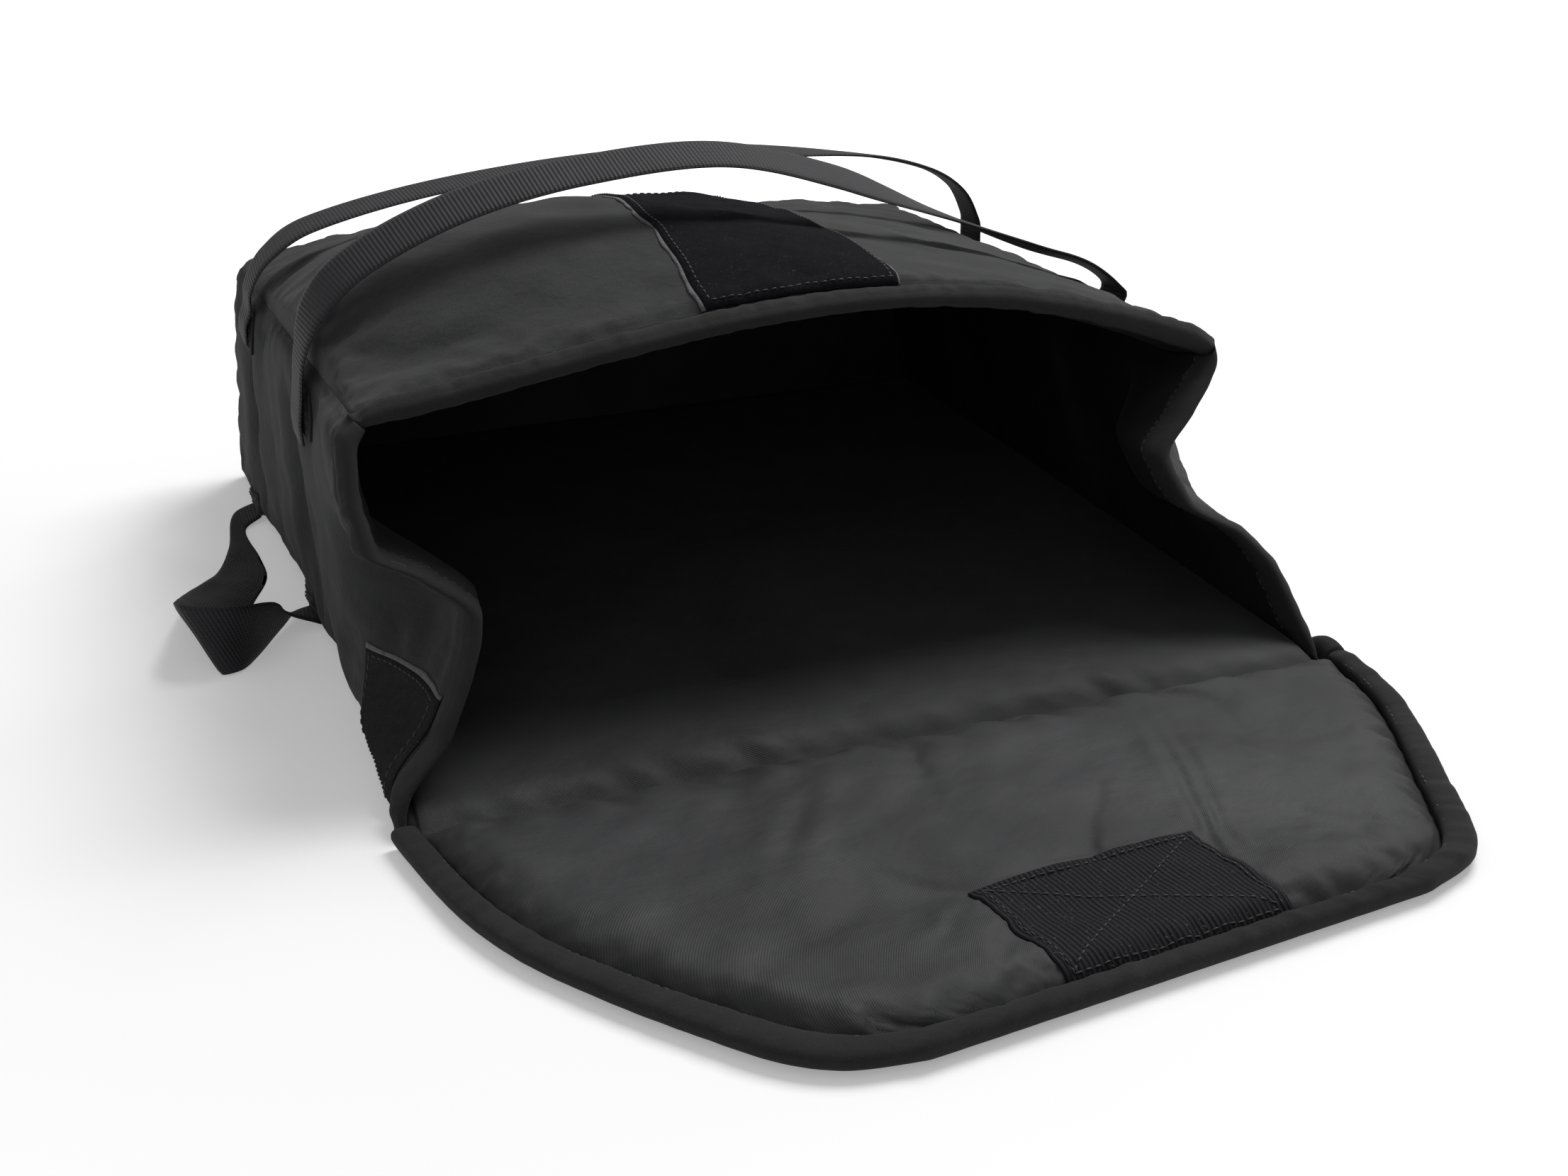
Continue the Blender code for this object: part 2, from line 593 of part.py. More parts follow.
for side, name in ((-1, "left"), (1, "right")):
    stations = [welt_ring(lambda inset, row=row: row, side) for row in FLAP_FRONT_ROWS]
    sweep(f"flap_welt_{name}", stations, "binding_tape", flap_pivot)
tip_start = FLAP_TIP_ROWS[0]
turn_shares = (0.0, 0.30, 0.55, 0.75, 0.88, 0.96, 1.0)
stations = [welt_ring(side_reach_of(tip_start, share), -1) for share in turn_shares]
stations += [welt_ring(side_reach_of(tip_start, 1.0), share) for share in (-0.5, 0.0, 0.5)]
stations += [welt_ring(side_reach_of(tip_start, share), 1) for share in reversed(turn_shares)]
sweep("flap_welt_tip", stations, "binding_tape", tip_pivot)
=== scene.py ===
# %% [markdown]
# # A soft carrier for flat food boxes
# The bag lies open on a pale floor with its front flap down. Its solids come packed, in metres, with the
# origin under the middle of the bag and +Y running into it. This file dresses them: every fabric panel,
# tape, strap and stitch below is new geometry that takes the place of a plain solid; all of it moves with its
# body except the flap's pad, outer cloth, welt, welt stitches and the hinge strip, which stay where they are made.

import json

import bpy
import numpy as np
from mathutils import Matrix, Vector

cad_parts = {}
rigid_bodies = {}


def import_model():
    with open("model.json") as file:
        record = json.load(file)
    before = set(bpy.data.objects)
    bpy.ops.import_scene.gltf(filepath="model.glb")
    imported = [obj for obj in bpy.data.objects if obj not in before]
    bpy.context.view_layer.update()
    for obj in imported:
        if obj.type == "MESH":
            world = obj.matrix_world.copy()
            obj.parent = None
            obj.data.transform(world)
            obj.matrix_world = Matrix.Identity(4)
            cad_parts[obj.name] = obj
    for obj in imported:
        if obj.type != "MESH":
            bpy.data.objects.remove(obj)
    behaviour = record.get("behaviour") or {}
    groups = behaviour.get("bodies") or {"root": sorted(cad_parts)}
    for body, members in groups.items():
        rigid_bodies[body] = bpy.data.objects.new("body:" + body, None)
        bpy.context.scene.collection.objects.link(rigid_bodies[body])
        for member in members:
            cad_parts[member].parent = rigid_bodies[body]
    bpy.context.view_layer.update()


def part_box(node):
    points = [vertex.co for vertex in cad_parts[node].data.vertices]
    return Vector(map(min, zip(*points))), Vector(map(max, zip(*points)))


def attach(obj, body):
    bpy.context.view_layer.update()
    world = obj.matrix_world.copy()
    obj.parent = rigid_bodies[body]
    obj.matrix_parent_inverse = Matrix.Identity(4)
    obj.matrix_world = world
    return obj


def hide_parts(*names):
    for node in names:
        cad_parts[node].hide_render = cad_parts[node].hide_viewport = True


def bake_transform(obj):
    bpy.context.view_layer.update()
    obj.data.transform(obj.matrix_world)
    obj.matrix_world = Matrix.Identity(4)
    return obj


for left_over in list(bpy.data.objects):
    bpy.data.objects.remove(left_over)
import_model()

# %% [markdown]
# ## Camera
# The photograph looks down on the bag from its front left. The place, turn and lens below come from a fit
# to the straight edges in the picture, so that the render can be laid over it. The axes are written as the
# camera's own right, up and backward directions.

# %% Camera
IMAGE_WIDTH = 2212
FOCAL_PIXELS = 2963.24
SENSOR = 36.0
CAMERA_PLACE = (-0.36815, -1.09050, 0.47545)
CAMERA_RIGHT = np.array((0.93446, -0.35585, -0.01284))
CAMERA_UP = np.array((0.15121, 0.36394, 0.91907))

camera_data = bpy.data.cameras.new("camera")
camera_data.sensor_width = SENSOR
camera_data.lens = SENSOR * FOCAL_PIXELS / IMAGE_WIDTH
camera = bpy.data.objects.new("camera", camera_data)
bpy.context.scene.collection.objects.link(camera)
back = np.cross(CAMERA_RIGHT, CAMERA_UP)
turn = Matrix([list(row) for row in np.stack((CAMERA_RIGHT, CAMERA_UP, back), axis=1)])
camera.matrix_world = Matrix.Translation(CAMERA_PLACE) @ turn.to_4x4()
bpy.context.scene.camera = camera
print("lens", round(camera_data.lens, 1), "mm")

# %% [markdown]
# ## Sizes
# These are the same named sizes that the solids were made from, in metres. Shares run from 0 to 1 along a
# wall, up it or across it, and a depth is measured inwards from the outer face.

# %% Sizes of the body and the flap
DEPTH = 0.530
HALF_BOTTOM = 0.245
HALF_TOP_LEFT, HALF_TOP_RIGHT = (0.232, 0.233), (0.229, 0.228)
FOOT_DRAWN_IN = ((0.0, 0.0), (0.10, 0.003), (0.35, 0.0105), (0.60, 0.0095), (0.85, 0.003), (1.0, 0.0))
TOP_LEFT = (0.170, 0.142)
TOP_RIGHT = (0.152, 0.138)
TOP_SETBACK = 0.107
SIDE_SETBACK = 0.010
WALL = 0.012
FABRIC = 0.0014
MITRE = 0.12
MOUTH_RUN = DEPTH - TOP_SETBACK
TAPE_SHARE = 0.0125 / MOUTH_RUN
DOME_RISE = ((0.0, 0.038), (0.35, 0.063), (0.74, 0.036), (1.0, 0.016))
DOME_LEAN = ((0.0, 1.30), (0.35, 0.60), (1.0, 0.80))
FOLD_LEFT = (
    (0.0, 0.0), (0.10, 0.004), (0.22, 0.024), (0.48, 0.044), (0.60, 0.020), (0.672, -0.002), (0.71, -0.003),
    (0.80, -0.006), (0.92, -0.005), (1.0, 0.0),
)
FOLD_RIGHT = (
    (0.0, 0.0), (0.14, 0.003), (0.28, 0.006), (0.42, 0.020), (0.54, 0.046), (0.67, 0.050), (0.80, 0.028), (0.93, 0.005),
    (1.0, 0.0),
)
CREASES = (0.44, 0.80)
FLAP_LENGTH = 0.245
FLAP_LEFT = (
    (0.0, 0.247), (0.27, 0.234), (0.43, 0.220), (0.60, 0.196), (0.79, 0.164), (0.90, 0.143), (0.966, 0.121), (1.0, 0.092),
)
FLAP_RIGHT = (
    (0.0, 0.256), (0.083, 0.256), (0.247, 0.251), (0.40, 0.241), (0.534, 0.230), (0.662, 0.219), (0.784, 0.209),
    (0.893, 0.198), (0.955, 0.186), (1.0, 0.156),
)
FLAP_LAY = (1.033, 0.793)
FLAP_FOLD = 0.582 * FLAP_LENGTH
HINGE = -DEPTH / 2
print("body", 2 * HALF_BOTTOM, "wide,", DEPTH, "deep; flap", FLAP_LENGTH, "long")

# %% [markdown]
# ## Curves and noise worked out on whole arrays
# Every surface below is a function of two parameters on a grid. Three small tools serve them all: a smooth
# curve through a few chosen points, half a sine wave, and a soft seeded noise made of many sine waves, which
# stands for the random lie of cloth.

# %% Array tools
def track(points, at):
    """Smooth curve through chosen points: cubic pieces, each slope the harmonic mean of its two chords."""
    x, y = np.array(points, float).T
    steps = np.diff(y) / np.diff(x)
    product = steps[:-1] * steps[1:]
    total = np.where(product > 0, steps[:-1] + steps[1:], 1.0)
    slopes = np.concatenate((steps[:1], np.where(product > 0, 2 * product / total, 0.0), steps[-1:]))
    at = np.clip(np.asarray(at, float), x[0], x[-1])
    i = np.clip(np.searchsorted(x, at, side="right") - 1, 0, len(x) - 2)
    span = x[i + 1] - x[i]
    t = (at - x[i]) / span
    start = (2 * t**3 - 3 * t**2 + 1) * y[i] + (t**3 - 2 * t**2 + t) * span * slopes[i]
    return start + (3 * t**2 - 2 * t**3) * y[i + 1] + (t**3 - t**2) * span * slopes[i + 1]


def arc(share):
    """Half a sine wave over 0 to 1, and zero outside."""
    return np.sin(np.pi * np.clip(share, 0.0, 1.0)).clip(0.0)


def mix(low, high, share):
    """Straight line between two values."""
    return low + (high - low) * share


def soft_noise(points, size, seed, waves=24):
    """Sum of sine waves in random directions, about the given size long, scaled to about -1 to 1."""
    chance = np.random.default_rng(seed)
    ways = chance.normal(size=(waves, 3))
    ways *= 2 * np.pi / size / np.linalg.norm(ways, axis=1, keepdims=True) * chance.uniform(0.6, 1.4, (waves, 1))
    return np.sin(points @ ways.T + chance.uniform(0, 2 * np.pi, waves)).sum(-1) / np.sqrt(waves * 1.5)


def noise_along(run, size, seed):
    """The same noise along a single measure, for the gathers and wavers of an edge."""
    return soft_noise(np.stack((run, 0 * run, 0 * run), -1), size, seed)


def bell(value, width, power=2):
    """Bell-shaped curve: 1 at zero and about a third at the width."""
    return np.exp(-(np.abs(value / width) ** power))


def unit(vectors):
    """The same directions with length one."""
    return vectors / np.linalg.norm(vectors, axis=-1, keepdims=True).clip(1e-12)


def normals_of(grid):
    """Unit normals of a grid of points: the cross product of its two grid directions."""
    return unit(np.cross(np.gradient(grid, axis=0), np.gradient(grid, axis=1)))


def running(path, power=1):
    """Running length along a line of points, each gap raised to a power."""
    return np.concatenate(([0.0], np.cumsum(np.linalg.norm(np.diff(path, axis=0), axis=1) ** power)))


def lengths(grid, axis):
    """Running length along one grid direction, averaged over the other: the cloth's own measure."""
    step = np.linalg.norm(np.diff(grid, axis=axis), axis=-1).mean(axis=1 - axis)
    return np.concatenate(([0.0], np.cumsum(step)))


def on_line(path, run, at):
    """Points of a line at chosen running lengths: straight between its own points."""
    return np.stack([np.interp(at, run, path[:, k]) for k in range(3)], -1)


print("array tools ready")

# %% [markdown]
# ## Walls as functions
# Each wall is one formula. A side wall runs from the floor edge to the top seam; two creases and a fold that
# leans into the mouth are taken off its width. The top is a dome between the two seams. All layers of a wall
# are the same formula at another depth, so they never meet.

# %% Wall formulas
def squeezed(along, depth):
    """Depth near the mouth, where the binding presses the pad to half its thickness: a bell curve behind the edge."""
    return depth * (1 - 0.5 * bell(along.clip(0) * MOUTH_RUN, 0.020))


def seam_line(side, along, depth):
    """Top seam of a side: half width, way from the hinge and height, all straight lines along the bag."""
    front, rear = TOP_LEFT if side < 0 else TOP_RIGHT
    half = mix(*(HALF_TOP_LEFT if side < 0 else HALF_TOP_RIGHT), along) - depth
    return half, mix(TOP_SETBACK, DEPTH - depth, along), mix(front, rear, along) - depth


def foot_line(side, along):
    """Half width of the bag at its foot: straight on the right, drawn in along the middle of the left."""
    return HALF_BOTTOM - (track(FOOT_DRAWN_IN, along) if side < 0 else 0.0)


def mitre(up):
    """Step of a layer near the floor and near the top, so that neighbours meet on a slant."""
    return (1 - up / MITRE).clip(0) - (1 - (1 - up) / MITRE).clip(0)


def side_wall(side, along, up, depth):
    """Flat trapezium, plus a soft billow, minus two bell-shaped creases and the fold at the mouth."""
    along, up, depth = np.broadcast_arrays(*(np.asarray(v, float) for v in (along, up, depth)))
    depth = squeezed(along, depth)
    half, top_y, top_z = seam_line(side, along, depth)
    z = (top_z + depth) * up + depth * mitre(up)
    y = mix(mix(SIDE_SETBACK, DEPTH - depth, along), top_y, z / (top_z + depth))
    x = mix(foot_line(side, y / DEPTH) - depth, half, up)
    waver = soft_noise(up[..., None] * (0.16, 0, 0), 0.045, 60 + side, 12)
    x = x + 0.0013 * waver * arc(up) ** 0.5 * (1 - along).clip(0) ** 12
    crease = sum(bell(along - at - 0.05 * (up - 0.5), 0.030, 1.5) for at in CREASES)
    x = x + arc(up) ** 0.8 * arc(along) * 0.005 - arc(up) ** 1.5 * crease * 0.0095
    fold = track(FOLD_LEFT if side < 0 else FOLD_RIGHT, up)
    x = x - fold * bell((along - TAPE_SHARE).clip(0), 0.140, 3)
    return np.stack((side * x, y + HINGE, z), -1)


def side_at(side):
    """The wall formula of one side, as a function of the share along, the share up and the depth."""
    return lambda along, up, depth: side_wall(side, along, up, depth)


def top_wall(along, across, depth):
    """Straight line between the two top seams, plus a dome whose crown leans to one side."""
    along, across, depth = np.broadcast_arrays(*(np.asarray(v, float) for v in (along, across, depth)))
    depth = squeezed(along, depth)
    left, y, left_z = seam_line(-1, along, depth)
    right, y, right_z = seam_line(1, along, depth)
    crown = arc(across.clip(0, 1) ** track(DOME_LEAN, along)) ** 0.88
    z = mix(left_z, right_z, across) + track(DOME_RISE, along) * crown
    return np.stack((mix(-left, right, across), y + HINGE, z), -1)


def floor_wall(along, across, depth):
    """Level sheet with a plump roll that curves down to the hinge seam, drawn in where the flap's welt passes."""
    along, across, depth = np.broadcast_arrays(*(np.asarray(v, float) for v in (along, across, depth)))
    free = ((along * DEPTH - 0.0075) / 0.005).clip(0, 1)
    left = np.minimum(foot_line(-1, along) - depth, 0.2341 + 0.0109 * free)
    right = np.minimum(HALF_BOTTOM - depth, 0.2429 + 0.0021 * free)
    plump = arc(along / 0.17) * arc(across) ** 0.6 * 0.007
    roll = 1 - 0.55 * bell(along * DEPTH, 0.0085, 1.4)
    y = mix(0.0, DEPTH - depth, along) + HINGE
    return np.stack((mix(-left, right, across), y, depth * (1 + plump / WALL) * roll), -1)


def back_wall(across, up, depth):
    """Sheet between the floor's rear edge and the rear edge of the top, with a soft bulge."""
    across, up, depth = np.broadcast_arrays(*(np.asarray(v, float) for v in (across, up, depth)))
    top = top_wall(1.0, across, depth)
    x = mix(mix(-(foot_line(-1, 1.0) - depth), HALF_BOTTOM - depth, across), top[..., 0], up)
    y = top[..., 1] + 0.008 * arc(across) * arc(up)
    return np.stack((x, y, (top[..., 2] + depth) * up + depth * mitre(up)), -1)


print("crest of the top", round(float(top_wall(0.35, 0.45, 0.0)[2]), 3), "m high")

# %% [markdown]
# ## From grids to closed forms
# A padded wall, a folded tape and a flat strap are all one kind of shape: a closed ring of points carried
# through a row of stations. One function builds them all. The first half of the ring is the outer side and
# the second half comes back along the inner side, so each end is closed by a strip between the two. The
# running lengths become the UV map in metres, so that a weave keeps its real size on every piece.

# %% Loft and sheet
def facing_out(points, faces):
    """True if the faces point outwards: the pyramids from the middle to the faces have a positive volume."""
    p = points - points.mean(0)
    a, b, c, d = (p[faces[:, k]] for k in range(4))
    return (np.cross(b, c) * a).sum() + (np.cross(c, d) * a).sum() > 0


def build(name, points, faces, corner_uv):
    """Mesh object from arrays: points, four point numbers per face, and a UV pair for each corner."""
    mesh = bpy.data.meshes.new(name)
    mesh.from_pydata(points.tolist(), [], faces.tolist())
    layer = mesh.uv_layers.new(name="UVMap")
    layer.data.foreach_set("uv", corner_uv.astype(np.float32).ravel())
    mesh.shade_smooth()
    made = bpy.data.objects.new(name, mesh)
    bpy.context.scene.collection.objects.link(made)
    return made


def loft(name, rings):
    """Ring of points at each station joined to the next; UV is the running length along and around."""
    n, m = rings.shape[:2]
    u = lengths(rings, 0)
    v = lengths(np.concatenate((rings, rings[:, :1]), 1), 1)
    r, c = np.mgrid[0 : n - 1, 0:m]
    corners = ((r, c), (r, c + 1), (r + 1, c + 1), (r + 1, c))
    faces = np.stack([a * m + b % m for a, b in corners], -1).reshape(-1, 4)
    uv = np.stack([np.stack((u[a], v[b]), -1) for a, b in corners], -2).reshape(-1, 4, 2)
    k = np.arange(m // 2 - 1)
    for end, order in ((0, (0, 3, 2, 1)), (n - 1, (0, 1, 2, 3))):
        cap = np.stack((k, k + 1, m - 2 - k, m - 1 - k), -1)[:, order]
        faces = np.concatenate((faces, end * m + cap))
        uv = np.concatenate((uv, np.stack((np.full(cap.shape, u[end]), v[cap]), -1)))
    points = rings.reshape(-1, 3)
    if not facing_out(points, faces):
        faces, uv = faces[:, ::-1], uv[:, ::-1]
    return build(name, points, faces, uv)


def between(outer, inner):
    """Rings of a slab: across the outer grid, then back across the inner grid."""
    return np.concatenate((outer, inner[:, ::-1]), 1)


def read(piece):
    """Points of a mesh object as an array."""
    co = np.empty(len(piece.data.vertices) * 3)
    piece.data.vertices.foreach_get("co", co)
    return co.reshape(-1, 3)


def write(piece, points):
    """Put an array of points back into a mesh object."""
    piece.data.vertices.foreach_set("co", points.astype(np.float32).ravel())
    piece.data.update()


def spread(grid, rows, columns):
    """Point at a fractional row and column of a grid: straight lines between its four neighbours."""
    rows, columns = np.broadcast_arrays(np.asarray(rows, float), np.asarray(columns, float))
    r = np.clip(rows.astype(int), 0, grid.shape[0] - 2)
    c = np.clip(columns.astype(int), 0, grid.shape[1] - 2)
    fr, fc = (rows - r)[..., None], (columns - c)[..., None]
    near = mix(grid[r, c], grid[r, c + 1], fc)
    return mix(near, mix(grid[r + 1, c], grid[r + 1, c + 1], fc), fr)


print("loft and sheet tools ready")

# %% [markdown]
# ## Sewn edges
# Where two padded walls are sewn together, the thread pulls both of them inwards, and the pad swells again a
# centimetre away. Cutting a groove into every wall by hand would leave gaps between neighbours, so the pull is
# one field in space instead: each point near a seam moves towards the inside of the bag, by an amount that only
# depends on where it is. Two walls that met before therefore still meet. Small gathers run along the thread,
# weaker at the foot, where the bag's weight keeps the seam straight. The stitch line behind the binding is a
# seam of the same kind, narrower, and its way in follows the wall.

# %% Seam pull
run = np.linspace(0, 1, 170)
SEAMS = (
    (side_wall(-1, run, 1.0, 0.0), (0.7, 0.0, -0.7)),
    (side_wall(1, run, 1.0, 0.0), (-0.7, 0.0, -0.7)),
    (back_wall(run, 1.0, 0.0), (0.0, -0.7, -0.7)),
    (side_wall(-1, 1.0, run, 0.0), (0.7, -0.7, 0.0)),
    (side_wall(1, 1.0, run, 0.0), (-0.7, -0.7, 0.0)),
    (side_wall(-1, run, 0.0, 0.0), (0.8, 0.0, 0.5)),
    (side_wall(1, run, 0.0, 0.0), (-0.8, 0.0, 0.5)),
    (back_wall(run, 0.0, 0.0), (0.0, -0.8, 0.5)),
)
FIRST_FOOT_SEAM = 5
GROOVE = 0.0108
# reach and depth of the pull, place and width of the swell beside it, its even and gathered height, gather size
SEWN_SEAM = (0.0070, 0.0042, 0.015, 0.009, 0.0006, 0.0013, 0.018)
STITCH_LINE = (0.0030, 0.0027, 0.0085, 0.0045, 0.0007, 0.0008, 0.012)
LARGEST_PULL = 0.0055


def groove_curve(surface):
    """Stitch line behind the binding on a wall's outer face, with the wall's own way in at each point."""
    at = GROOVE / MOUTH_RUN
    way = surface(at, run, 0.004) - surface(at, run, -0.002)
    return surface(at, run, -0.002), unit(way)


GROOVES = tuple(groove_curve(surface) for surface in (top_wall, side_at(-1), side_at(1)))


def nearest_on(points, curve):
    """Distance of each point to a curve, and the number of the curve's nearest point."""
    square = (points**2).sum(1)[:, None] + (curve**2).sum(1) - 2 * points @ curve.T
    nearest = square.argmin(1)
    return np.sqrt(square[np.arange(len(points)), nearest].clip(0)), nearest


def sewn_in(points):
    """Move each point along a seam's inward way by a bell curve of its distance, gathered by noise."""
    flat = points.reshape(-1, 3)
    moved = np.zeros_like(flat)
    for number, (curve, inward) in enumerate(SEAMS + GROOVES):
        gap, nearest = nearest_on(flat, curve)
        thread = number >= len(SEAMS)
        reach, depth, ring_at, ring_width, even, gathered, size = STITCH_LINE if thread else SEWN_SEAM
        weight = 1.0 if thread else 0.35 if number >= FIRST_FOOT_SEAM else 0.6
        gather = weight * soft_noise(curve, size, 40 + number)[nearest]
        pull = depth * (1 + 0.25 * gather) * bell(gap, reach)
        raised = (even + gathered * gather) * bell(gap - ring_at, ring_width)
        moved += (pull - raised)[:, None] * np.broadcast_to(inward, curve.shape)[nearest]
    size = np.linalg.norm(moved, axis=1, keepdims=True)
    return (flat + moved * np.minimum(1, LARGEST_PULL / size.clip(1e-9))).reshape(points.shape)


print(len(SEAMS) + len(GROOVES), "seams pull up to", SEWN_SEAM[1] * 1000, "mm")

# %% [markdown]
# ## Soft filling
# A filled wall is not as even as its pattern. Cloth simulation gives it the swells and small buckles of a
# fabric that is a little larger than the space it is sewn into. Its inner face and its edges are held, a light
# pressure pushes the free face out, and gravity is off because the filling carries the cloth. The result is
# kept within a few millimetres of the formula, so that a wall never leaves the place of its solid.

# %% Cloth simulation
FRAMES = 20


def swell(piece, held, pressure, growth, cap):
    """Cloth under pressure with held points, applied with each move softly capped: cap times tanh(move / cap)."""
    before = read(piece)
    group = piece.vertex_groups.new(name="held")
    group.add(np.flatnonzero(held).tolist(), 1.0, "REPLACE")
    cloth = piece.modifiers.new("cloth", "CLOTH")
    settings = cloth.settings
    settings.quality = 4
    settings.mass = 0.25
    settings.tension_stiffness = settings.compression_stiffness = 12
    settings.shear_stiffness = 6
    settings.bending_stiffness = 0.6
    settings.vertex_group_mass = "held"
    settings.shrink_min = -growth
    settings.use_pressure = True
    settings.uniform_pressure_force = pressure
    settings.effector_weights.gravity = 0
    cloth.collision_settings.use_collision = False
    cloth.point_cache.frame_start, cloth.point_cache.frame_end = 1, FRAMES
    scene = bpy.context.scene
    for frame_number in range(1, FRAMES + 1):
        scene.frame_set(frame_number)
    settled = piece.evaluated_get(bpy.context.evaluated_depsgraph_get())
    after = np.empty(before.size)
    settled.data.vertices.foreach_get("co", after)
    piece.modifiers.remove(cloth)
    piece.vertex_groups.remove(group)
    scene.frame_set(1)
    move = after.reshape(-1, 3) - before
    size = np.linalg.norm(move, axis=1, keepdims=True).clip(1e-9)
    move *= cap * np.tanh(size / cap) / size
    write(piece, before + move)
    return float(np.linalg.norm(move, axis=1).max())


print("simulation", "on")

# %% [markdown]
# ## Padded walls
# The five walls share one recipe: an outer grid from the wall's formula, an inner grid one pad thickness
# deeper, and the two lofted into a closed pad. The top gets the slow swells of a soft lid that lies on
# something flat, and the sides get upright folds that lean with their creases. Cells are about 3 mm wide.

# %% Wall pads
PAD_DEPTH = 0.0092
CELL = 0.0032


def steps(length, cell=CELL):
    """Shares from 0 to 1 in cells of a set size."""
    return np.linspace(0, 1, int(length / cell) + 1)


def upright_folds(side, along, up):
    """Soft upright folds: a few sine waves along the wall whose phase leans with height, faded out at every edge."""
    chance = np.random.default_rng(11 if side < 0 else 12)
    fold = 0.0
    for count in (3.3, 5.1, 7.7):
        strength, leaning, start = chance.uniform(0.5, 1.0), chance.uniform(-0.5, 0.5), chance.random()
        fold = fold + strength * np.sin(2 * np.pi * (along * count + up * leaning + start))
    return 0.0019 * fold * arc(up) ** 0.7 * np.clip((along - TAPE_SHARE) / 0.12, 0, 1) * arc(along) ** 0.5


def side_pad(side):
    """Outer and inner grids of a side wall, its rows along the bag and its columns up the wall."""
    along, up = np.meshgrid(steps(MOUTH_RUN + 0.05), steps(0.168), indexing="ij")
    outer, inner = side_wall(side, along, up, 0.0), side_wall(side, along, up, PAD_DEPTH)
    lie = 0.0016 * soft_noise(outer, 0.06, 3) + 0.0006 * soft_noise(outer, 0.028, 4)
    outer[..., 0] += side * (upright_folds(side, along, up) + lie * arc(up) ** 0.7 * arc(along) ** 0.5)
    return sewn_in(outer), sewn_in(inner), along, up


def top_pad_grids():
    """Outer and inner grids of the top, its rows along the bag and its columns from left to right."""
    along, across = np.meshgrid(steps(MOUTH_RUN), steps(0.475), indexing="ij")
    outer, inner = top_wall(along, across, 0.0), top_wall(along, across, PAD_DEPTH)
    lie = 0.0024 * soft_noise(outer * (1.0, 0.6, 0.3), 0.11, 5) + 0.0010 * soft_noise(outer, 0.038, 6)
    outer[..., 2] += lie * arc(across) ** 0.6 * np.clip((along - TAPE_SHARE) / 0.08, 0, 1) * arc(along) ** 0.3
    return sewn_in(outer), sewn_in(inner), along, across


def back_pad_grids():
    """Outer and inner grids of the back, its rows from left to right and its columns up the wall."""
    across, up = np.meshgrid(steps(0.465), steps(0.150), indexing="ij")
    outer, inner = back_wall(across, up, 0.0), back_wall(across, up, PAD_DEPTH)
    outer[..., 1] += (0.0016 * soft_noise(outer, 0.07, 8)) * arc(across) ** 0.6 * arc(up)
    return sewn_in(outer), sewn_in(inner), across, up


def floor_pad_grids():
    """Lower and upper grids of the floor, its rows along the bag and its columns from left to right."""
    along, across = np.meshgrid(steps(DEPTH, 0.006), steps(0.472, 0.006), indexing="ij")
    return sewn_in(floor_wall(along, across, 0.0)), sewn_in(floor_wall(along, across, PAD_DEPTH)), along, across


def make_pad(name, grids, held_edges, pressure, growth, cap):
    """Loft a pad, hold its inner half and the named edges, swell it, and return the piece with its outer grid."""
    outer, inner, first, second = grids
    piece = loft(name, between(outer, inner))
    n, m = outer.shape[:2]
    held = np.ones((n, 2 * m), bool)
    held[:, :m] = held_edges(first, second)
    moved = swell(piece, held.ravel(), pressure, growth, cap)
    grid = read(piece).reshape(n, 2 * m, 3)[:, :m]
    print(name, len(piece.data.polygons), "faces, swelled", round(moved * 1000, 1), "mm")
    return piece, grid


def seam_and_tape(first, second):
    """Held points of a wall with a mouth edge: the strip under the binding and the three sewn edges."""
    return (first < 0.036) | (first > 0.99) | (second < 0.01) | (second > 0.99)


def side_held(first, second):
    """Held points of a side wall: as above, and the field under the sewn-on patch."""
    return seam_and_tape(first, second) | ((first < 0.20) & (second < 0.29))


def all_edges(first, second):
    """Held points of a wall that is sewn all round."""
    return (first < 0.01) | (first > 0.99) | (second < 0.01) | (second > 0.99)


left_pad, left_grid = make_pad("left_pad", side_pad(-1), side_held, 2.0, 0.025, 0.0025)
right_pad, right_grid = make_pad("right_pad", side_pad(1), side_held, 2.0, 0.025, 0.0025)
top_pad, top_grid = make_pad("top_pad", top_pad_grids(), seam_and_tape, 1.5, 0.02, 0.003)
back_pad, back_grid = make_pad("back_pad", back_pad_grids(), all_edges, 2.0, 0.03, 0.003)
floor_pad, floor_grid = make_pad("floor_pad", floor_pad_grids(), lambda a, b: a >= 0, 0.0, 0.0, 0.001)

# %% [markdown]
# ## Linings
# The inside of each wall is a second cloth, sewn in along the same edges. It is a thin sheet that follows the
# wall's formula at full depth, with shallow swells towards the room inside. The floor's lining carries the
# plump roll that shows at the front of the opening.

# %% Lining sheets
LINING = 0.0010


def lining(name, surface, first, second, swells=0.0016, puckers=0.0):
    """Thin closed sheet on a wall's inner face, raised by soft noise and by slanting puckers at its start."""
    first, second = np.meshgrid(first, second, indexing="ij")
    face = surface(first, second, WALL)
    fade = (arc(first) * arc(second)) ** 0.5
    rise = swells * fade * (0.6 + 0.5 * soft_noise(face, 0.06, 20) + 0.25 * soft_noise(face, 0.025, 21))
    behind = face[..., 1] - HINGE
    slanting = noise_along(face[..., 0] + 0.7 * behind, 0.020, 22)
    rise += puckers * (0.5 + 0.6 * slanting) * bell(behind - 0.007, 0.011) * arc(second) ** 0.3
    shown = surface(first, second, WALL + rise)
    piece = loft(name, between(shown, surface(first, second, WALL - LINING + rise)))
    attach(piece, "bag")
    print(name, len(piece.data.polygons), "faces")
    return piece


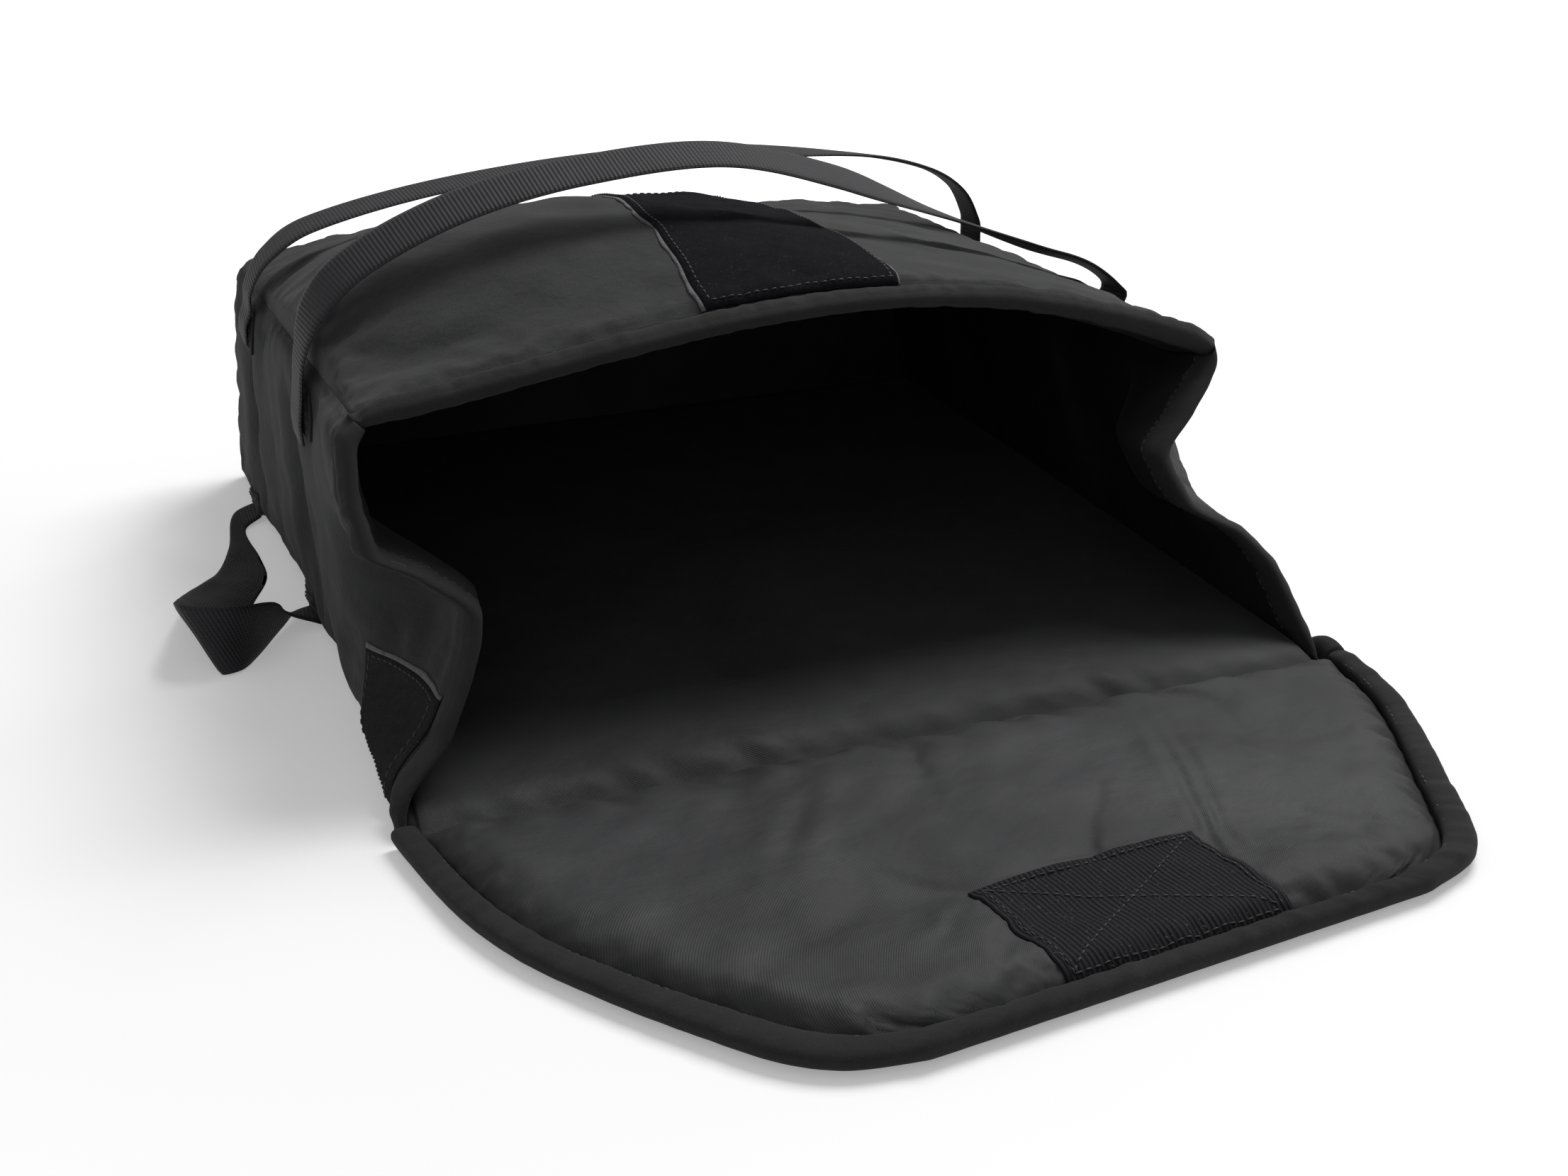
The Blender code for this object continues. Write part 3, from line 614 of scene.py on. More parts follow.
along_cells, up_cells = steps(0.47, 0.005), steps(0.16, 0.005)
across_cells = steps(0.46, 0.005)
FLOOR_CELLS = np.concatenate((np.linspace(0, 0.045, 24)[:-1], mix(0.045, 1.0, steps(0.95 * DEPTH, 0.0045))))
left_lining = lining("left_lining_sheet", side_at(-1), along_cells, up_cells)
right_lining = lining("right_lining_sheet", side_at(1), along_cells, up_cells)
top_lining = lining("top_lining_sheet", top_wall, along_cells, across_cells)
back_lining = lining("back_lining_sheet", back_wall, across_cells, up_cells)
floor_lining = lining("floor_lining_sheet", floor_wall, FLOOR_CELLS, steps(0.46, 0.0032), 0.0010, 0.0022)
for piece, node in (
    (left_lining, "left_lining"), (right_lining, "right_lining"), (top_lining, "top_lining"),
    (back_lining, "back_lining"), (floor_lining, "bottom_lining"),
):
    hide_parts(node)
for name in ("left", "right", "top", "back"):
    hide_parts(f"{name}_outer", f"{name}_padding")
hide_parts("bottom_outer", "bottom_padding")
for piece in (left_pad, right_pad, top_pad, back_pad, floor_pad):
    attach(piece, "bag")

# %% [markdown]
# ## Binding around the mouth
# The raw edge of the padded walls is wrapped in a folded strip of the outer cloth and stitched through. Its
# section is a rounded hook shape: a flat leg, the stitched groove, a full bulge, the nose, and the same again
# inside. The section is written once as distance behind the edge and depth below the outer face, and the
# wall's own formula carries it along the edge, so the strip follows every fold of the mouth.

# %% Binding section
TAPE_THICK = 0.0009
TAPE_SECTION = np.array((
    (0.0130, -0.0008), (0.0119, -0.0018), (0.0108, -0.0012), (0.0097, -0.0024), (0.0070, -0.0038),
    (0.0035, -0.0042), (0.0003, -0.0034), (-0.0020, -0.0012), (-0.0033, 0.0020), (-0.0037, 0.0060),
    (-0.0033, 0.0098), (-0.0020, 0.0126), (0.0003, 0.0144), (0.0035, 0.0151), (0.0070, 0.0150),
    (0.0097, 0.0139), (0.0108, 0.0128), (0.0119, 0.0134), (0.0130, 0.0126),
))


def binding(name, surface, lines, length):
    """Hook-shaped section carried along the mouth: its bulge gathers, and its inner path is the outer one moved in."""
    back, depth = TAPE_SECTION.T
    slope = unit(np.gradient(TAPE_SECTION, axis=0))
    gather = noise_along(lines * length, 0.011, len(name))
    full = bell(back - 0.004, 0.005) * np.sign(depth - WALL / 2)
    rings = []
    for inset in (0.0, TAPE_THICK):
        b = back - slope[:, 1] * inset
        d = depth - slope[:, 0] * inset + 0.0008 * gather[:, None] * full
        rings.append(surface(np.broadcast_to(b / MOUTH_RUN, d.shape), lines[:, None], d))
    piece = loft(name, sewn_in(between(rings[0], rings[1])))
    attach(piece, "bag")
    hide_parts(name.replace("_tape", ""))
    print(name, len(piece.data.polygons), "faces")
    return piece


top_lines, side_lines = steps(0.48, 0.0020), np.linspace(0.005, 1.0, 92)
binding("top_binding_tape", top_wall, top_lines, 0.48)
binding("left_binding_tape", side_at(-1), side_lines, 0.16)
binding("right_binding_tape", side_at(1), side_lines, 0.15)

# %% [markdown]
# ## Thread
# Every seam is held by short loops of thread that dip into the cloth between two holes. A loop is a small
# six-sided bead with tapered ends and a bowed back, only a few dozen faces, and one mesh holds all the loops of
# a seam. The path is measured first, so that the loops keep one real length however the path bends.

# %% Stitches
STITCH_LENGTH = 0.0034
STITCH_PITCH = 0.0045
THREAD = 0.00042


def along_path(path, gap):
    """Points at equal gaps along a path, with the way ahead at each: straight lines between its points."""
    run = running(path)
    at = np.arange(gap / 2, run[-1], gap)
    place = on_line(path, run, at)
    return place, unit(on_line(path, run, at + 1e-4) - place)


def stitches(name, paths, body):
    """One bead per stitch: six points around, four stations along, thin at both ends and raised in the middle."""
    place, ahead, up = [], [], []
    for path, away in paths:
        points, ways = along_path(np.asarray(path, float), STITCH_PITCH)
        near = np.argmin(((points[:, None] - np.asarray(path)[None]) ** 2).sum(-1), 1)
        place.append(points), ahead.append(ways), up.append(np.broadcast_to(away, np.shape(path))[near])
    place, ahead, up = (np.concatenate(v) for v in (place, ahead, up))
    side = unit(np.cross(ahead, up))
    up = np.cross(side, ahead)
    turn = np.linspace(0, 2 * np.pi, 6, endpoint=False)
    shift = np.array((-0.5, -0.28, 0.28, 0.5)) * STITCH_LENGTH
    thick = np.array((0.3, 1.0, 1.0, 0.3)) * THREAD
    lift = np.array((-0.4, 0.55, 0.55, -0.4)) * THREAD
    spot = place[:, None, None] + ahead[:, None, None] * shift[:, None, None]
    spot = spot + side[:, None, None] * (np.cos(turn) * thick[:, None])[..., None]
    spot = spot + up[:, None, None] * (np.sin(turn) * thick[:, None] + lift[:, None])[..., None]
    r, c = np.mgrid[0:3, 0:6]
    beside = (c + 1) % 6
    one = np.stack((r * 6 + c, r * 6 + beside, (r + 1) * 6 + beside, (r + 1) * 6 + c), -1).reshape(-1, 4)
    one = np.concatenate((one, ((3, 2, 1, 0), (5, 4, 3, 0), (18, 19, 20, 21), (18, 21, 22, 23))))
    if not facing_out(spot[0].reshape(-1, 3), one):
        one = one[:, ::-1]
    faces = (np.arange(len(place))[:, None, None] * 24 + one).reshape(-1, 4)
    piece = build(name, spot.reshape(-1, 3), faces, np.zeros((len(faces), 4, 2)))
    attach(piece, body) if isinstance(body, str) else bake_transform(piece)
    print(name, len(place), "stitches")
    return piece


def mouth_stitches(surface, lines, outside):
    """Stitch line in the groove of the binding, on its outer or inner side, with the way off the cloth."""
    depth, off = (-0.0010, -0.0030) if outside else (0.0130, 0.0150)
    path = sewn_in(surface(GROOVE / MOUTH_RUN, lines, depth))
    away = surface(GROOVE / MOUTH_RUN, lines, off) - surface(GROOVE / MOUTH_RUN, lines, depth)
    return path, away


mouth = []
for surface, lines in ((top_wall, top_lines[3:-3]), *((side_at(side), side_lines[1:-2]) for side in (-1, 1))):
    mouth += [mouth_stitches(surface, lines, outside) for outside in (True, False)]
mouth_thread = stitches("mouth_stitches", mouth, "bag")

# %% [markdown]
# ## Sewn-on tapes
# The soft pile strip on the top, the small patches at the foot of the sides and the flat ends of the straps
# all lie on a wall. Each is cut out of the finished wall's own grid, so it follows the swelling of the pad
# underneath: the outer face stands off by its thickness, and its rim is rounded down to the cloth.

# %% Pieces cut from a wall's grid
def skin(grid, centre=(0.0, 0.0, 0.07)):
    """A grid with its unit normals, turned to point away from a centre."""
    normal = normals_of(grid)
    middle = grid.shape[0] // 2, grid.shape[1] // 2
    return grid, normal * (1.0 if normal[middle] @ (grid[middle] - centre) > 0 else -1.0)


def wavy(rows, size, seed):
    """Noise along a run of rows, for an edge that has puckered under the machine."""
    return noise_along(rows * 0.42, size, seed)


def laid_on(name, cloth, rows, columns, thick, node, body="bag", wave=0.0, seed=1, lift=0.0003):
    """Slab on part of a cloth, raised along its normal: thinner at the rim, and its long edges wavy."""
    grid, normals = cloth
    n, m = grid.shape[:2]
    r, c = np.meshgrid(rows * (n - 1), columns * (m - 1), indexing="ij")
    share = np.linspace(-1, 1, len(columns))[None]
    c = c + wave * wavy(rows, 0.03, seed)[:, None] * np.abs(share) ** 3 * np.sign(share) * (m - 1)
    normal = unit(spread(normals, r, c))
    from_end, from_side = (np.minimum(np.arange(k), np.arange(k)[::-1]) for k in (len(rows), len(columns)))
    rim = np.minimum(from_end[:, None], from_side).clip(0, 2)
    height = lift + thick * np.choose(rim, (0.45, 0.85, 1.0))
    base = spread(grid, r, c)
    outer = base + normal * height[..., None]
    piece = loft(name, between(outer, base + normal * lift))
    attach(piece, body) if isinstance(body, str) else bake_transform(piece)
    if node:
        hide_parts(node)
    return piece, outer, normal


def line_on(outer, normal, rows, columns):
    """Path over a slab's outer face through fractional rows and columns, with the way off it."""
    r = np.linspace(rows[0], rows[1], 60) * (outer.shape[0] - 1)
    c = np.linspace(columns[0], columns[1], 60) * (outer.shape[1] - 1)
    return spread(outer, r, c), spread(normal, r, c)


def border(outer, normal, row, column):
    """Four stitch lines round a slab, a little inside its rim."""
    rows, columns = (row, 1 - row), (column, 1 - column)
    sides = [line_on(outer, normal, rows, (edge, edge)) for edge in columns]
    return sides + [line_on(outer, normal, (edge, edge), columns) for edge in rows]


def cross_lines(outer, normal, row, column):
    """Two diagonals inside the border."""
    rows, columns = (row, 1 - row), (column, 1 - column)
    return [line_on(outer, normal, rows, columns), line_on(outer, normal, rows, columns[::-1])]


print("tools for sewn pieces ready")

# %% [markdown]
# ## Pile strip and its selvedges
# The strip is the soft half of a hook and loop fastener, a dense black pile on a woven ground. Each long edge
# has a pale selvedge without pile, which has puckered under the machine into a wavy line. The selvedge is a
# narrow slab of its own beside the pile, its width changing along the run.

# %% Pile strip
top_cloth, left_cloth, right_cloth = skin(top_grid), skin(left_grid), skin(right_grid)
STRIP_ALONG, STRIP_ACROSS = (0.0322, 0.70), (0.388, 0.612)
strip_rows = np.linspace(*STRIP_ALONG, 120)
strip, strip_outer, strip_normal = laid_on(
    "pile_strip", top_cloth, strip_rows, np.linspace(*STRIP_ACROSS, 44), 0.0019, "top_loop_strip",
    wave=0.0022, seed=31,
)
strip_paths = border(strip_outer, strip_normal, 0.012, 0.035)


def selvedge(name, cloth, rows, column, width, outward, seed, wave=0.0022):
    """Narrow pale slab beside the pile: its outer edge wavers by noise along the run."""
    grid, normals = cloth
    n, m = grid.shape[:2]
    waver = wavy(rows, 0.014, seed + 50)[:, None]
    share = np.linspace(0, 1, 5)[None]
    puckered = outward * wave * wavy(rows, 0.03, seed)[:, None]
    columns = column + outward * (share * width * (1 + 0.35 * waver) - 0.001) + puckered
    r, c = rows[:, None] * (n - 1) + 0 * columns, columns * (m - 1)
    normal = unit(spread(normals, r, c))
    height = 0.0011 + 0.0003 * waver * share - 0.0005 * share**4
    base = spread(grid, r, c)
    piece = loft(name, between(base + normal * height[..., None], base + normal * 0.0002))
    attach(piece, "bag")
    return piece


selvedges = [
    selvedge("strip_selvedge_left", top_cloth, strip_rows, STRIP_ACROSS[0], 0.0046, -1, 31),
    selvedge("strip_selvedge_right", top_cloth, strip_rows, STRIP_ACROSS[1], 0.0030, 1, 31),
]
print("strip", len(strip.data.polygons), "faces")

# %% [markdown]
# ## Side patches and strap ends
# Low on each side, right behind the binding, is a small pile patch that the flap's corner could meet, again with
# a pale selvedge along its upper and lower edge. The strap ends are flat rectangles of webbing, stitched round
# in a box with a cross inside it, the usual way to spread the load of a handle over the cloth.

# %% Patches and tabs
PATCH_ALONG, PATCH_UP = (0.0325, 0.185), (0.035, 0.265)
patch_paths, tab_paths = [], []
for side, word, cloth in ((-1, "left", left_cloth), (1, "right", right_cloth)):
    rows, columns = np.linspace(*PATCH_ALONG, 26), np.linspace(*PATCH_UP, 24)
    piece, outer, normal = laid_on(f"{word}_pile_patch", cloth, rows, columns, 0.0018, f"{word}_loop_patch")
    patch_paths += border(outer, normal, 0.06, 0.05)
    selvedges.append(selvedge(f"{word}_patch_selvedge", cloth, rows, PATCH_UP[1], 0.0130, 1, 61, 0.0))
    selvedges.append(selvedge(f"{word}_patch_selvedge_low", cloth, rows, PATCH_UP[0], 0.0110, -1, 62, 0.0))
strip_thread = stitches("pile_stitches", strip_paths + patch_paths, "bag")

TAB_UP, LOW_TAB_UP = (0.78, 0.92), (0.02, 0.12)
FRONT_TABS, REAR_TABS = (0.261, 0.330), (0.711, 0.781)
LOOP_FRONT, LOOP_BACK = (0.466, 0.524), (0.816, 0.874)
TABS = (
    ("front_tab_left", left_cloth, FRONT_TABS, TAB_UP, "front_handle_tab_left"),
    ("front_tab_right", right_cloth, FRONT_TABS, TAB_UP, "front_handle_tab_right"),
    ("rear_tab_left", left_cloth, REAR_TABS, TAB_UP, "rear_handle_tab_left"),
    ("rear_tab_right", right_cloth, REAR_TABS, TAB_UP, "rear_handle_tab_right"),
    ("low_tab_front", left_cloth, LOOP_FRONT, LOW_TAB_UP, "side_handle_tab_front"),
    ("low_tab_back", left_cloth, LOOP_BACK, LOW_TAB_UP, "side_handle_tab_back"),
)
tab_faces = {}
for name, cloth, along, up, node in TABS:
    rows, columns = np.linspace(*along, 16), np.linspace(*up, 12)
    piece, outer, normal = laid_on(name, cloth, rows, columns, 0.0022, node)
    tab_faces[node] = outer.reshape(-1, 3)
    tab_paths += border(outer, normal, 0.10, 0.12) + cross_lines(outer, normal, 0.10, 0.12)
tab_thread = stitches("tab_stitches", tab_paths, "bag")
print(len(TABS), "strap ends")

# %% [markdown]
# ## Carrying handles
# Two straps of heavy webbing arch over the top. Webbing bends easily about its width but hardly sideways, so a
# strap is best made as a thin rounded band carried along one smooth line, with a slow twist where it relaxes:
# the left part turns its face to the front, the right part turns edge-on. The line passes through the solids'
# own stations, and the ends lie flat on their tabs.

# %% Strap tools
WEB_HALF = 0.0150
WEB_THICK = 0.0022
END_Z = 0.124
FRONT_ARCH = (
    (0.010, 0.170), (0.030, 0.193), (0.08, 0.214), (0.19, 0.236), (0.32, 0.248), (0.48, 0.250),
    (0.62, 0.232), (0.76, 0.2035), (0.88, 0.179), (0.950, 0.1665), (0.988, 0.152),
)
REAR_ARCH = (
    (0.010, 0.156), (0.034, 0.174), (0.09, 0.190), (0.25, 0.2045), (0.45, 0.2105), (0.65, 0.2075),
    (0.82, 0.199), (0.92, 0.187), (0.970, 0.172), (0.992, 0.152),
)


def smooth_path(points, count):
    """Smooth curve through points: cubic pieces whose slope at a point is taken across its two neighbours."""
    points = np.asarray(points, float)
    run = running(points, 0.5)
    slope = np.empty_like(points)
    slope[1:-1] = (points[2:] - points[:-2]) / (run[2:] - run[:-2])[:, None]
    slope[0] = (points[1] - points[0]) / (run[1] - run[0])
    slope[-1] = (points[-1] - points[-2]) / (run[-1] - run[-2])
    at = np.linspace(0, run[-1], count)
    i = np.clip(np.searchsorted(run, at, side="right") - 1, 0, len(run) - 2)
    span = (run[i + 1] - run[i])[:, None]
    t = (at[:, None] - run[i][:, None]) / span
    start = (2 * t**3 - 3 * t**2 + 1) * points[i] + (t**3 - 2 * t**2 + t) * span * slope[i]
    return start + (3 * t**2 - 2 * t**3) * points[i + 1] + (t**3 - t**2) * span * slope[i + 1]


def even_path(path, count):
    """The same line with points at equal gaps."""
    run = running(path)
    return on_line(path, run, np.linspace(0, run[-1], count))


def tab_x(node, y, z):
    """Sideways place of a tab's outer face: the value at its point nearest to a given place."""
    face = tab_faces[node]
    return face[((face[:, 1:] - (y, z)) ** 2).sum(1).argmin(), 0]


def strap_rings(middle, width_way, thick_way, half, thick):
    """Flat section with rounded edges: 11 points over one face and 11 back over the other."""
    share = np.linspace(-1, 1, 11)
    crown = (1 - np.abs(share) ** 8 * 0.75) * thick / 2
    near = middle[:, None] + width_way[:, None] * (share * half)[:, None]
    lift = thick_way[:, None] * crown[:, None]
    return between(near + lift, near - lift)


def carry_handle(name, place_y, arch, twist, sway, node, set_out=0.0):
    """Arch across the bag, flat on its tabs at both ends, its width turned about the line by a smooth twist."""
    low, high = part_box(node)
    left_x, right_x = low.x + 0.0012 - set_out, high.x - 0.0012
    ends = (END_Z, END_Z + 0.010, END_Z + 0.019)
    points = [(tab_x(f"{node}_tab_left", place_y, z) - 0.0015, 0, z) for z in ends]
    points += [(mix(left_x, right_x, share), 0, z) for share, z in arch]
    points += [(tab_x(f"{node}_tab_right", place_y, z) + 0.0015, 0, z) for z in ends[::-1]]
    line = even_path(smooth_path(points, 400), 240)
    share = np.linspace(0, 1, len(line))
    line[:, 1] = place_y + track(sway, share)
    ahead = unit(np.gradient(line, axis=0))
    level = unit(np.cross(ahead, np.cross((0.0, 1.0, 0.0), ahead)))
    out = np.cross(ahead, level)
    angle = np.radians(track(twist, share))[:, None]
    width_way = level * np.cos(angle) + out * np.sin(angle)
    thick_way = out * np.cos(angle) - level * np.sin(angle)
    piece = loft(name, strap_rings(line, width_way, thick_way, WEB_HALF, WEB_THICK))
    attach(piece, node)
    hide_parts(node)
    print(name, round(float(lengths(line[:, None], 0)[-1]), 3), "m long")
    return piece


FRONT_TWIST = (
    (0, 0), (0.06, 0), (0.15, 20), (0.32, 18), (0.50, 16), (0.64, 18), (0.76, -2), (0.88, -12), (0.95, 0), (1, 0),
)
FRONT_SWAY = ((0, 0), (0.15, -0.003), (0.4, -0.002), (0.6, 0.005), (0.82, 0.012), (0.93, 0.006), (1, 0))
REAR_TWIST = ((0, 0), (0.05, 0), (0.13, 5), (0.30, 4), (0.46, 6), (0.62, 8), (0.8, -8), (0.94, 0), (1, 0))
REAR_SWAY = ((0, 0), (0.14, -0.010), (0.34, -0.006), (0.6, 0.002), (0.8, 0.003), (1, 0))
carry_handle("front_carry_strap", -0.0422, FRONT_ARCH, FRONT_TWIST, FRONT_SWAY, "front_handle")
carry_handle("rear_carry_strap", 0.1560, REAR_ARCH, REAR_TWIST, REAR_SWAY, "rear_handle", 0.003)

# %% [markdown]
# ## Grab loop
# The loop at the foot of the left side is one piece of webbing that leaves the wall, folds over itself at its
# far end and comes back standing on its edge, with a half twist before it is sewn down again. Because it turns
# in every direction, its two edges are given as lines in space, and the width between them is filled.

# %% Grab loop
LOOP_OUTER = (
    (0.010, 0.455, 0.0020), (0.021, 0.400, 0.0010), (0.033, 0.360, 0.0020), (0.052, 0.324, 0.0080),
    (0.062, 0.275, 0.0240), (0.064, 0.237, 0.0360), (0.048, 0.226, 0.0355), (0.0325, 0.2300, 0.0330),
    (0.0215, 0.2420, 0.0280), (0.0150, 0.2530, 0.0215), (0.0100, 0.2560, 0.0140),
)
LOOP_INNER = (
    (0.008, 0.424, 0.0020), (0.008, 0.378, 0.0008), (0.010, 0.342, 0.0008), (0.022, 0.304, 0.0008),
    (0.034, 0.258, 0.0008), (0.047, 0.219, 0.0010), (0.0385, 0.2185, 0.0010), (0.0305, 0.2305, 0.0010),
    (0.0225, 0.2475, 0.0012), (0.0135, 0.2660, 0.0022), (0.0050, 0.2800, 0.0042),
)
LOOP_WALL = 0.2510


def tab_middle(along, up):
    """Middle of a strap end along the bag, from the four corners of its tab."""
    return side_wall(-1, np.array(along)[:, None], np.array(up)[None], -0.0027)[..., 1].mean()


def loop_edge(points, first, last):
    """One edge of the strap: from its rear tab through the given points to its front tab."""
    ends = [
        (tab_x(f"side_handle_tab_{end}", y, 0.0045) - 0.0002, y, 0.0045)
        for end, y in (("back", first), ("front", last))
    ]
    out, along, up = np.array(points).T
    follow = 1 - 0.55 * (out / 0.030).clip(0, 1)
    line = np.stack((track(FOOT_DRAWN_IN, along / DEPTH) * follow - LOOP_WALL - out, along + HINGE, up), -1)
    return smooth_path([ends[0], *line.tolist(), ends[1]], 600)


def grab_loop():
    """Band between two edge lines, its thickness square to the width and the run, soft ripples along it."""
    rear, front = tab_middle(LOOP_BACK, LOW_TAB_UP), tab_middle(LOOP_FRONT, LOW_TAB_UP)
    outer = loop_edge(LOOP_OUTER, rear + WEB_HALF, front - WEB_HALF)
    inner = loop_edge(LOOP_INNER, rear - WEB_HALF, front + WEB_HALF)
    middle = (outer + inner) / 2
    run = running(middle)
    at = np.linspace(0, run[-1], 200)
    outer, inner = (on_line(edge, run, at) for edge in (outer, inner))
    middle = (outer + inner) / 2
    width_way = (outer - inner) / 2
    half = np.linalg.norm(width_way, axis=1)
    width_way /= half[:, None]
    thick_way = unit(np.cross(np.gradient(middle, axis=0), width_way))
    share = np.linspace(-1, 1, 15)
    crown = (1 - np.abs(share) ** 10 * 0.75) * WEB_THICK / 2
    near = middle[:, None] + width_way[:, None] * (share * half[:, None])[..., None]
    ripple = 0.0006 * soft_noise(near, 0.03, 77)[..., None] * arc(at / run[-1])[:, None, None]
    near = near + thick_way[:, None] * (ripple + 0.0012)
    lift = thick_way[:, None] * crown[:, None]
    rings = between(near + lift, near - lift)
    rings[..., 2] = rings[..., 2].clip(0.0002)
    return loft("grab_loop", rings)


loop = grab_loop()
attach(loop, "side_handle")
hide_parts("side_handle")
print("grab loop", len(loop.data.polygons), "faces")

# %% [markdown]
# ## Front flap
# The flap is one long pad that lies open on the ground, with a rounded edge; its fold line half way is only
# kept as a size. Its height is a function of the distance to its own edge: deep in the stitched groove, quickly
# up to full thickness, and a low ridge before it levels out. The fabric gathers along the groove and along the
# hinge seam, a few pressed creases cross it, and the sewn hook patch holds it down.

# %% Flap pad
WELT_WIDTH, WELT_HEIGHT, WELT_BOTTOM = 0.0125, 0.0092, 0.0019
PAD_INSET = WELT_WIDTH + 0.0003
HOOK_HALF, HOOK_SHARE, HOOK_SHIFT, HOOK_LEAN = 0.0560, 0.30, 0.0235, 0.035
HOOK_ALONG = (0.643 * FLAP_LENGTH, 0.943 * FLAP_LENGTH)
PAD_END = FLAP_LENGTH - PAD_INSET
FLAP_TURN = ("flap_front", "flap_tip", (-0.0016, -0.3727, 0.013), (0.0016, -0.4177, 0.013))


def flap_half(reach, inset, side):
    """Half width at a distance from the hinge, inside an inset outline, on one side."""
    share = reach / (FLAP_LENGTH - inset)
    return np.where(side < 0, track(FLAP_LEFT, share), track(FLAP_RIGHT, share)) - inset


def flap_place(reach, x, z):
    """Point of the flap, which lies askew: its reach shrinks in a straight line from left to right."""
    lay = mix(*FLAP_LAY, (x / HALF_BOTTOM + 1) / 2)
    return np.stack(np.broadcast_arrays(x, HINGE - reach * lay, z), -1)


def flap_offset(reach, across, inset):
    """Sideways place: straight leaning columns over the hook patch, then an even spread out to the edge."""
    outer = (np.abs(across) - HOOK_SHARE) / (1 - HOOK_SHARE)
    side = np.sign(across)
    shift = HOOK_SHIFT + HOOK_LEAN * (reach / FLAP_LENGTH - 0.64)
    far = mix(shift + side * HOOK_HALF, side * flap_half(reach, inset, side), outer.clip(0))
    return np.where(np.abs(across) <= HOOK_SHARE, shift + across / HOOK_SHARE * HOOK_HALF, far)


def edge_distance(points, outline):
    """Distance of each point to the outline, and the number of the nearest outline point."""
    gap, nearest = nearest_on(points.reshape(-1, 3)[:, :2], outline[:, :2])
    return gap.reshape(points.shape[:2]), nearest.reshape(points.shape[:2])


PRESSED = (
    ((0.118, -0.292), (0.080, -0.428), 0.0030, 0.0013), ((0.127, -0.290), (0.090, -0.420), 0.0028, 0.0010),
    ((0.137, -0.327), (0.163, -0.366), 0.0030, 0.0011), ((-0.186, -0.418), (-0.118, -0.474), 0.0045, 0.0019),
    ((-0.168, -0.446), (-0.098, -0.484), 0.0040, 0.0014), ((-0.060, -0.300), (-0.105, -0.372), 0.0050, 0.0009),
)


def pressed(points, start, end, width, depth):
    """Crease along a straight line in plan: a bell-shaped valley with a low ridge on both sides and soft ends."""
    start, way = np.array(start), np.subtract(end, start)
    long = np.linalg.norm(way)
    way = way / long
    from_start = points[..., :2] - start
    away = np.abs(from_start[..., 0] * way[1] - from_start[..., 1] * way[0])
    valley = bell(away, width) - 0.45 * bell(away - 2.2 * width, 1.2 * width)
    return -depth * valley * arc(from_start @ way / long) ** 0.6


row_reach = np.concatenate((np.linspace(0.0004, 0.012, 9)[:-1], np.linspace(0.012, PAD_END, 84)))
reach, across = np.meshgrid(row_reach, np.linspace(-1, 1, 175), indexing="ij")
n, m = reach.shape
plan = flap_place(reach, flap_offset(reach, across, PAD_INSET), 0.0)
outline = even_path(np.concatenate((plan[:, 0], plan[-1, 1:-1], plan[::-1, -1])), 1400)
gap, nearest = edge_distance(plan, outline)
gather = soft_noise(outline, 0.017, 90)[nearest] + 0.7 * soft_noise(outline, 0.0085, 91)[nearest]
height = 0.0036 + 0.0090 * (1 - bell(gap, 0.0060, 1.2))
height += 0.0013 * bell(gap - 0.020, 0.012) + 0.0011 * gather * bell(gap - 0.006, 0.006)
fade = np.clip(gap / 0.03, 0, 1)
height += fade * (0.0017 * soft_noise(plan * (1.0, 1.6, 1.0), 0.09, 92) + 0.0005 * soft_noise(plan, 0.032, 93))
height += fade * sum(pressed(plan, *line) for line in PRESSED)
slanting = noise_along(plan[..., 0] - 0.8 * reach, 0.019, 94)
height += 0.0009 * slanting * bell(reach - 0.008, 0.011) * np.clip(gap / 0.02, 0, 1)
height = 0.0058 + (height - 0.0058) * (1 - bell(reach, 0.0042, 1.2))
in_patch = np.clip((HOOK_SHARE * 1.04 - np.abs(across)) / 0.03, 0, 1)
in_patch = in_patch * np.clip((reach - HOOK_ALONG[0] + 0.004) / 0.006, 0, 1)
height = mix(height, np.minimum(height, 0.0118) - 0.0006, in_patch)
flap_top = plan + np.stack((0 * height, 0 * height, height), -1)
flap_under = plan + (0.0, 0.0, 0.0019)
flap_pad = loft("flap_pad", between(flap_top, flap_under))
held = np.ones((n, 2 * m), bool)
held[:, :m] = (gap < 0.0035) | (reach < 0.002) | (in_patch > 0.9)
moved = swell(flap_pad, held.ravel(), 1.6, 0.018, 0.0015)
flap_cloth = skin(read(flap_pad).reshape(n, 2 * m, 3)[:, :m], (0.0, -0.38, -1.0))
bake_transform(flap_pad)
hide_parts("flap_front_padding", "flap_front_lining", "flap_tip_padding", "flap_tip_lining")
print("flap pad", len(flap_pad.data.polygons), "faces, swelled", round(moved * 1000, 1), "mm")

# %% [markdown]
# ## Outer cloth, edge welt and hinge of the flap
# Under the pad lies the outer cloth, which becomes the outside when the bag is closed, so it is a real sheet. The
# welt is a rolled strip of binding, a flattened ring carried round the outline and gathered by noise. A
# narrow strip of outer cloth joins the flap to the floor.

# %% Outer cloth of the flap
UNDER_WELT = 0.0065
under_reach = np.linspace(0.0006, FLAP_LENGTH - UNDER_WELT, 60)
reach, across = np.meshgrid(under_reach, np.linspace(-1, 1, 101), indexing="ij")
plan = flap_place(reach, flap_offset(reach, across, UNDER_WELT), 0.0)
flap_outer = loft("flap_outer_sheet", between(plan + (0, 0, 0.0016), plan + (0, 0, 0.0003)))
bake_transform(flap_outer)
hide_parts("flap_front_outer", "flap_tip_outer")
print("flap outer", len(flap_outer.data.polygons), "faces")

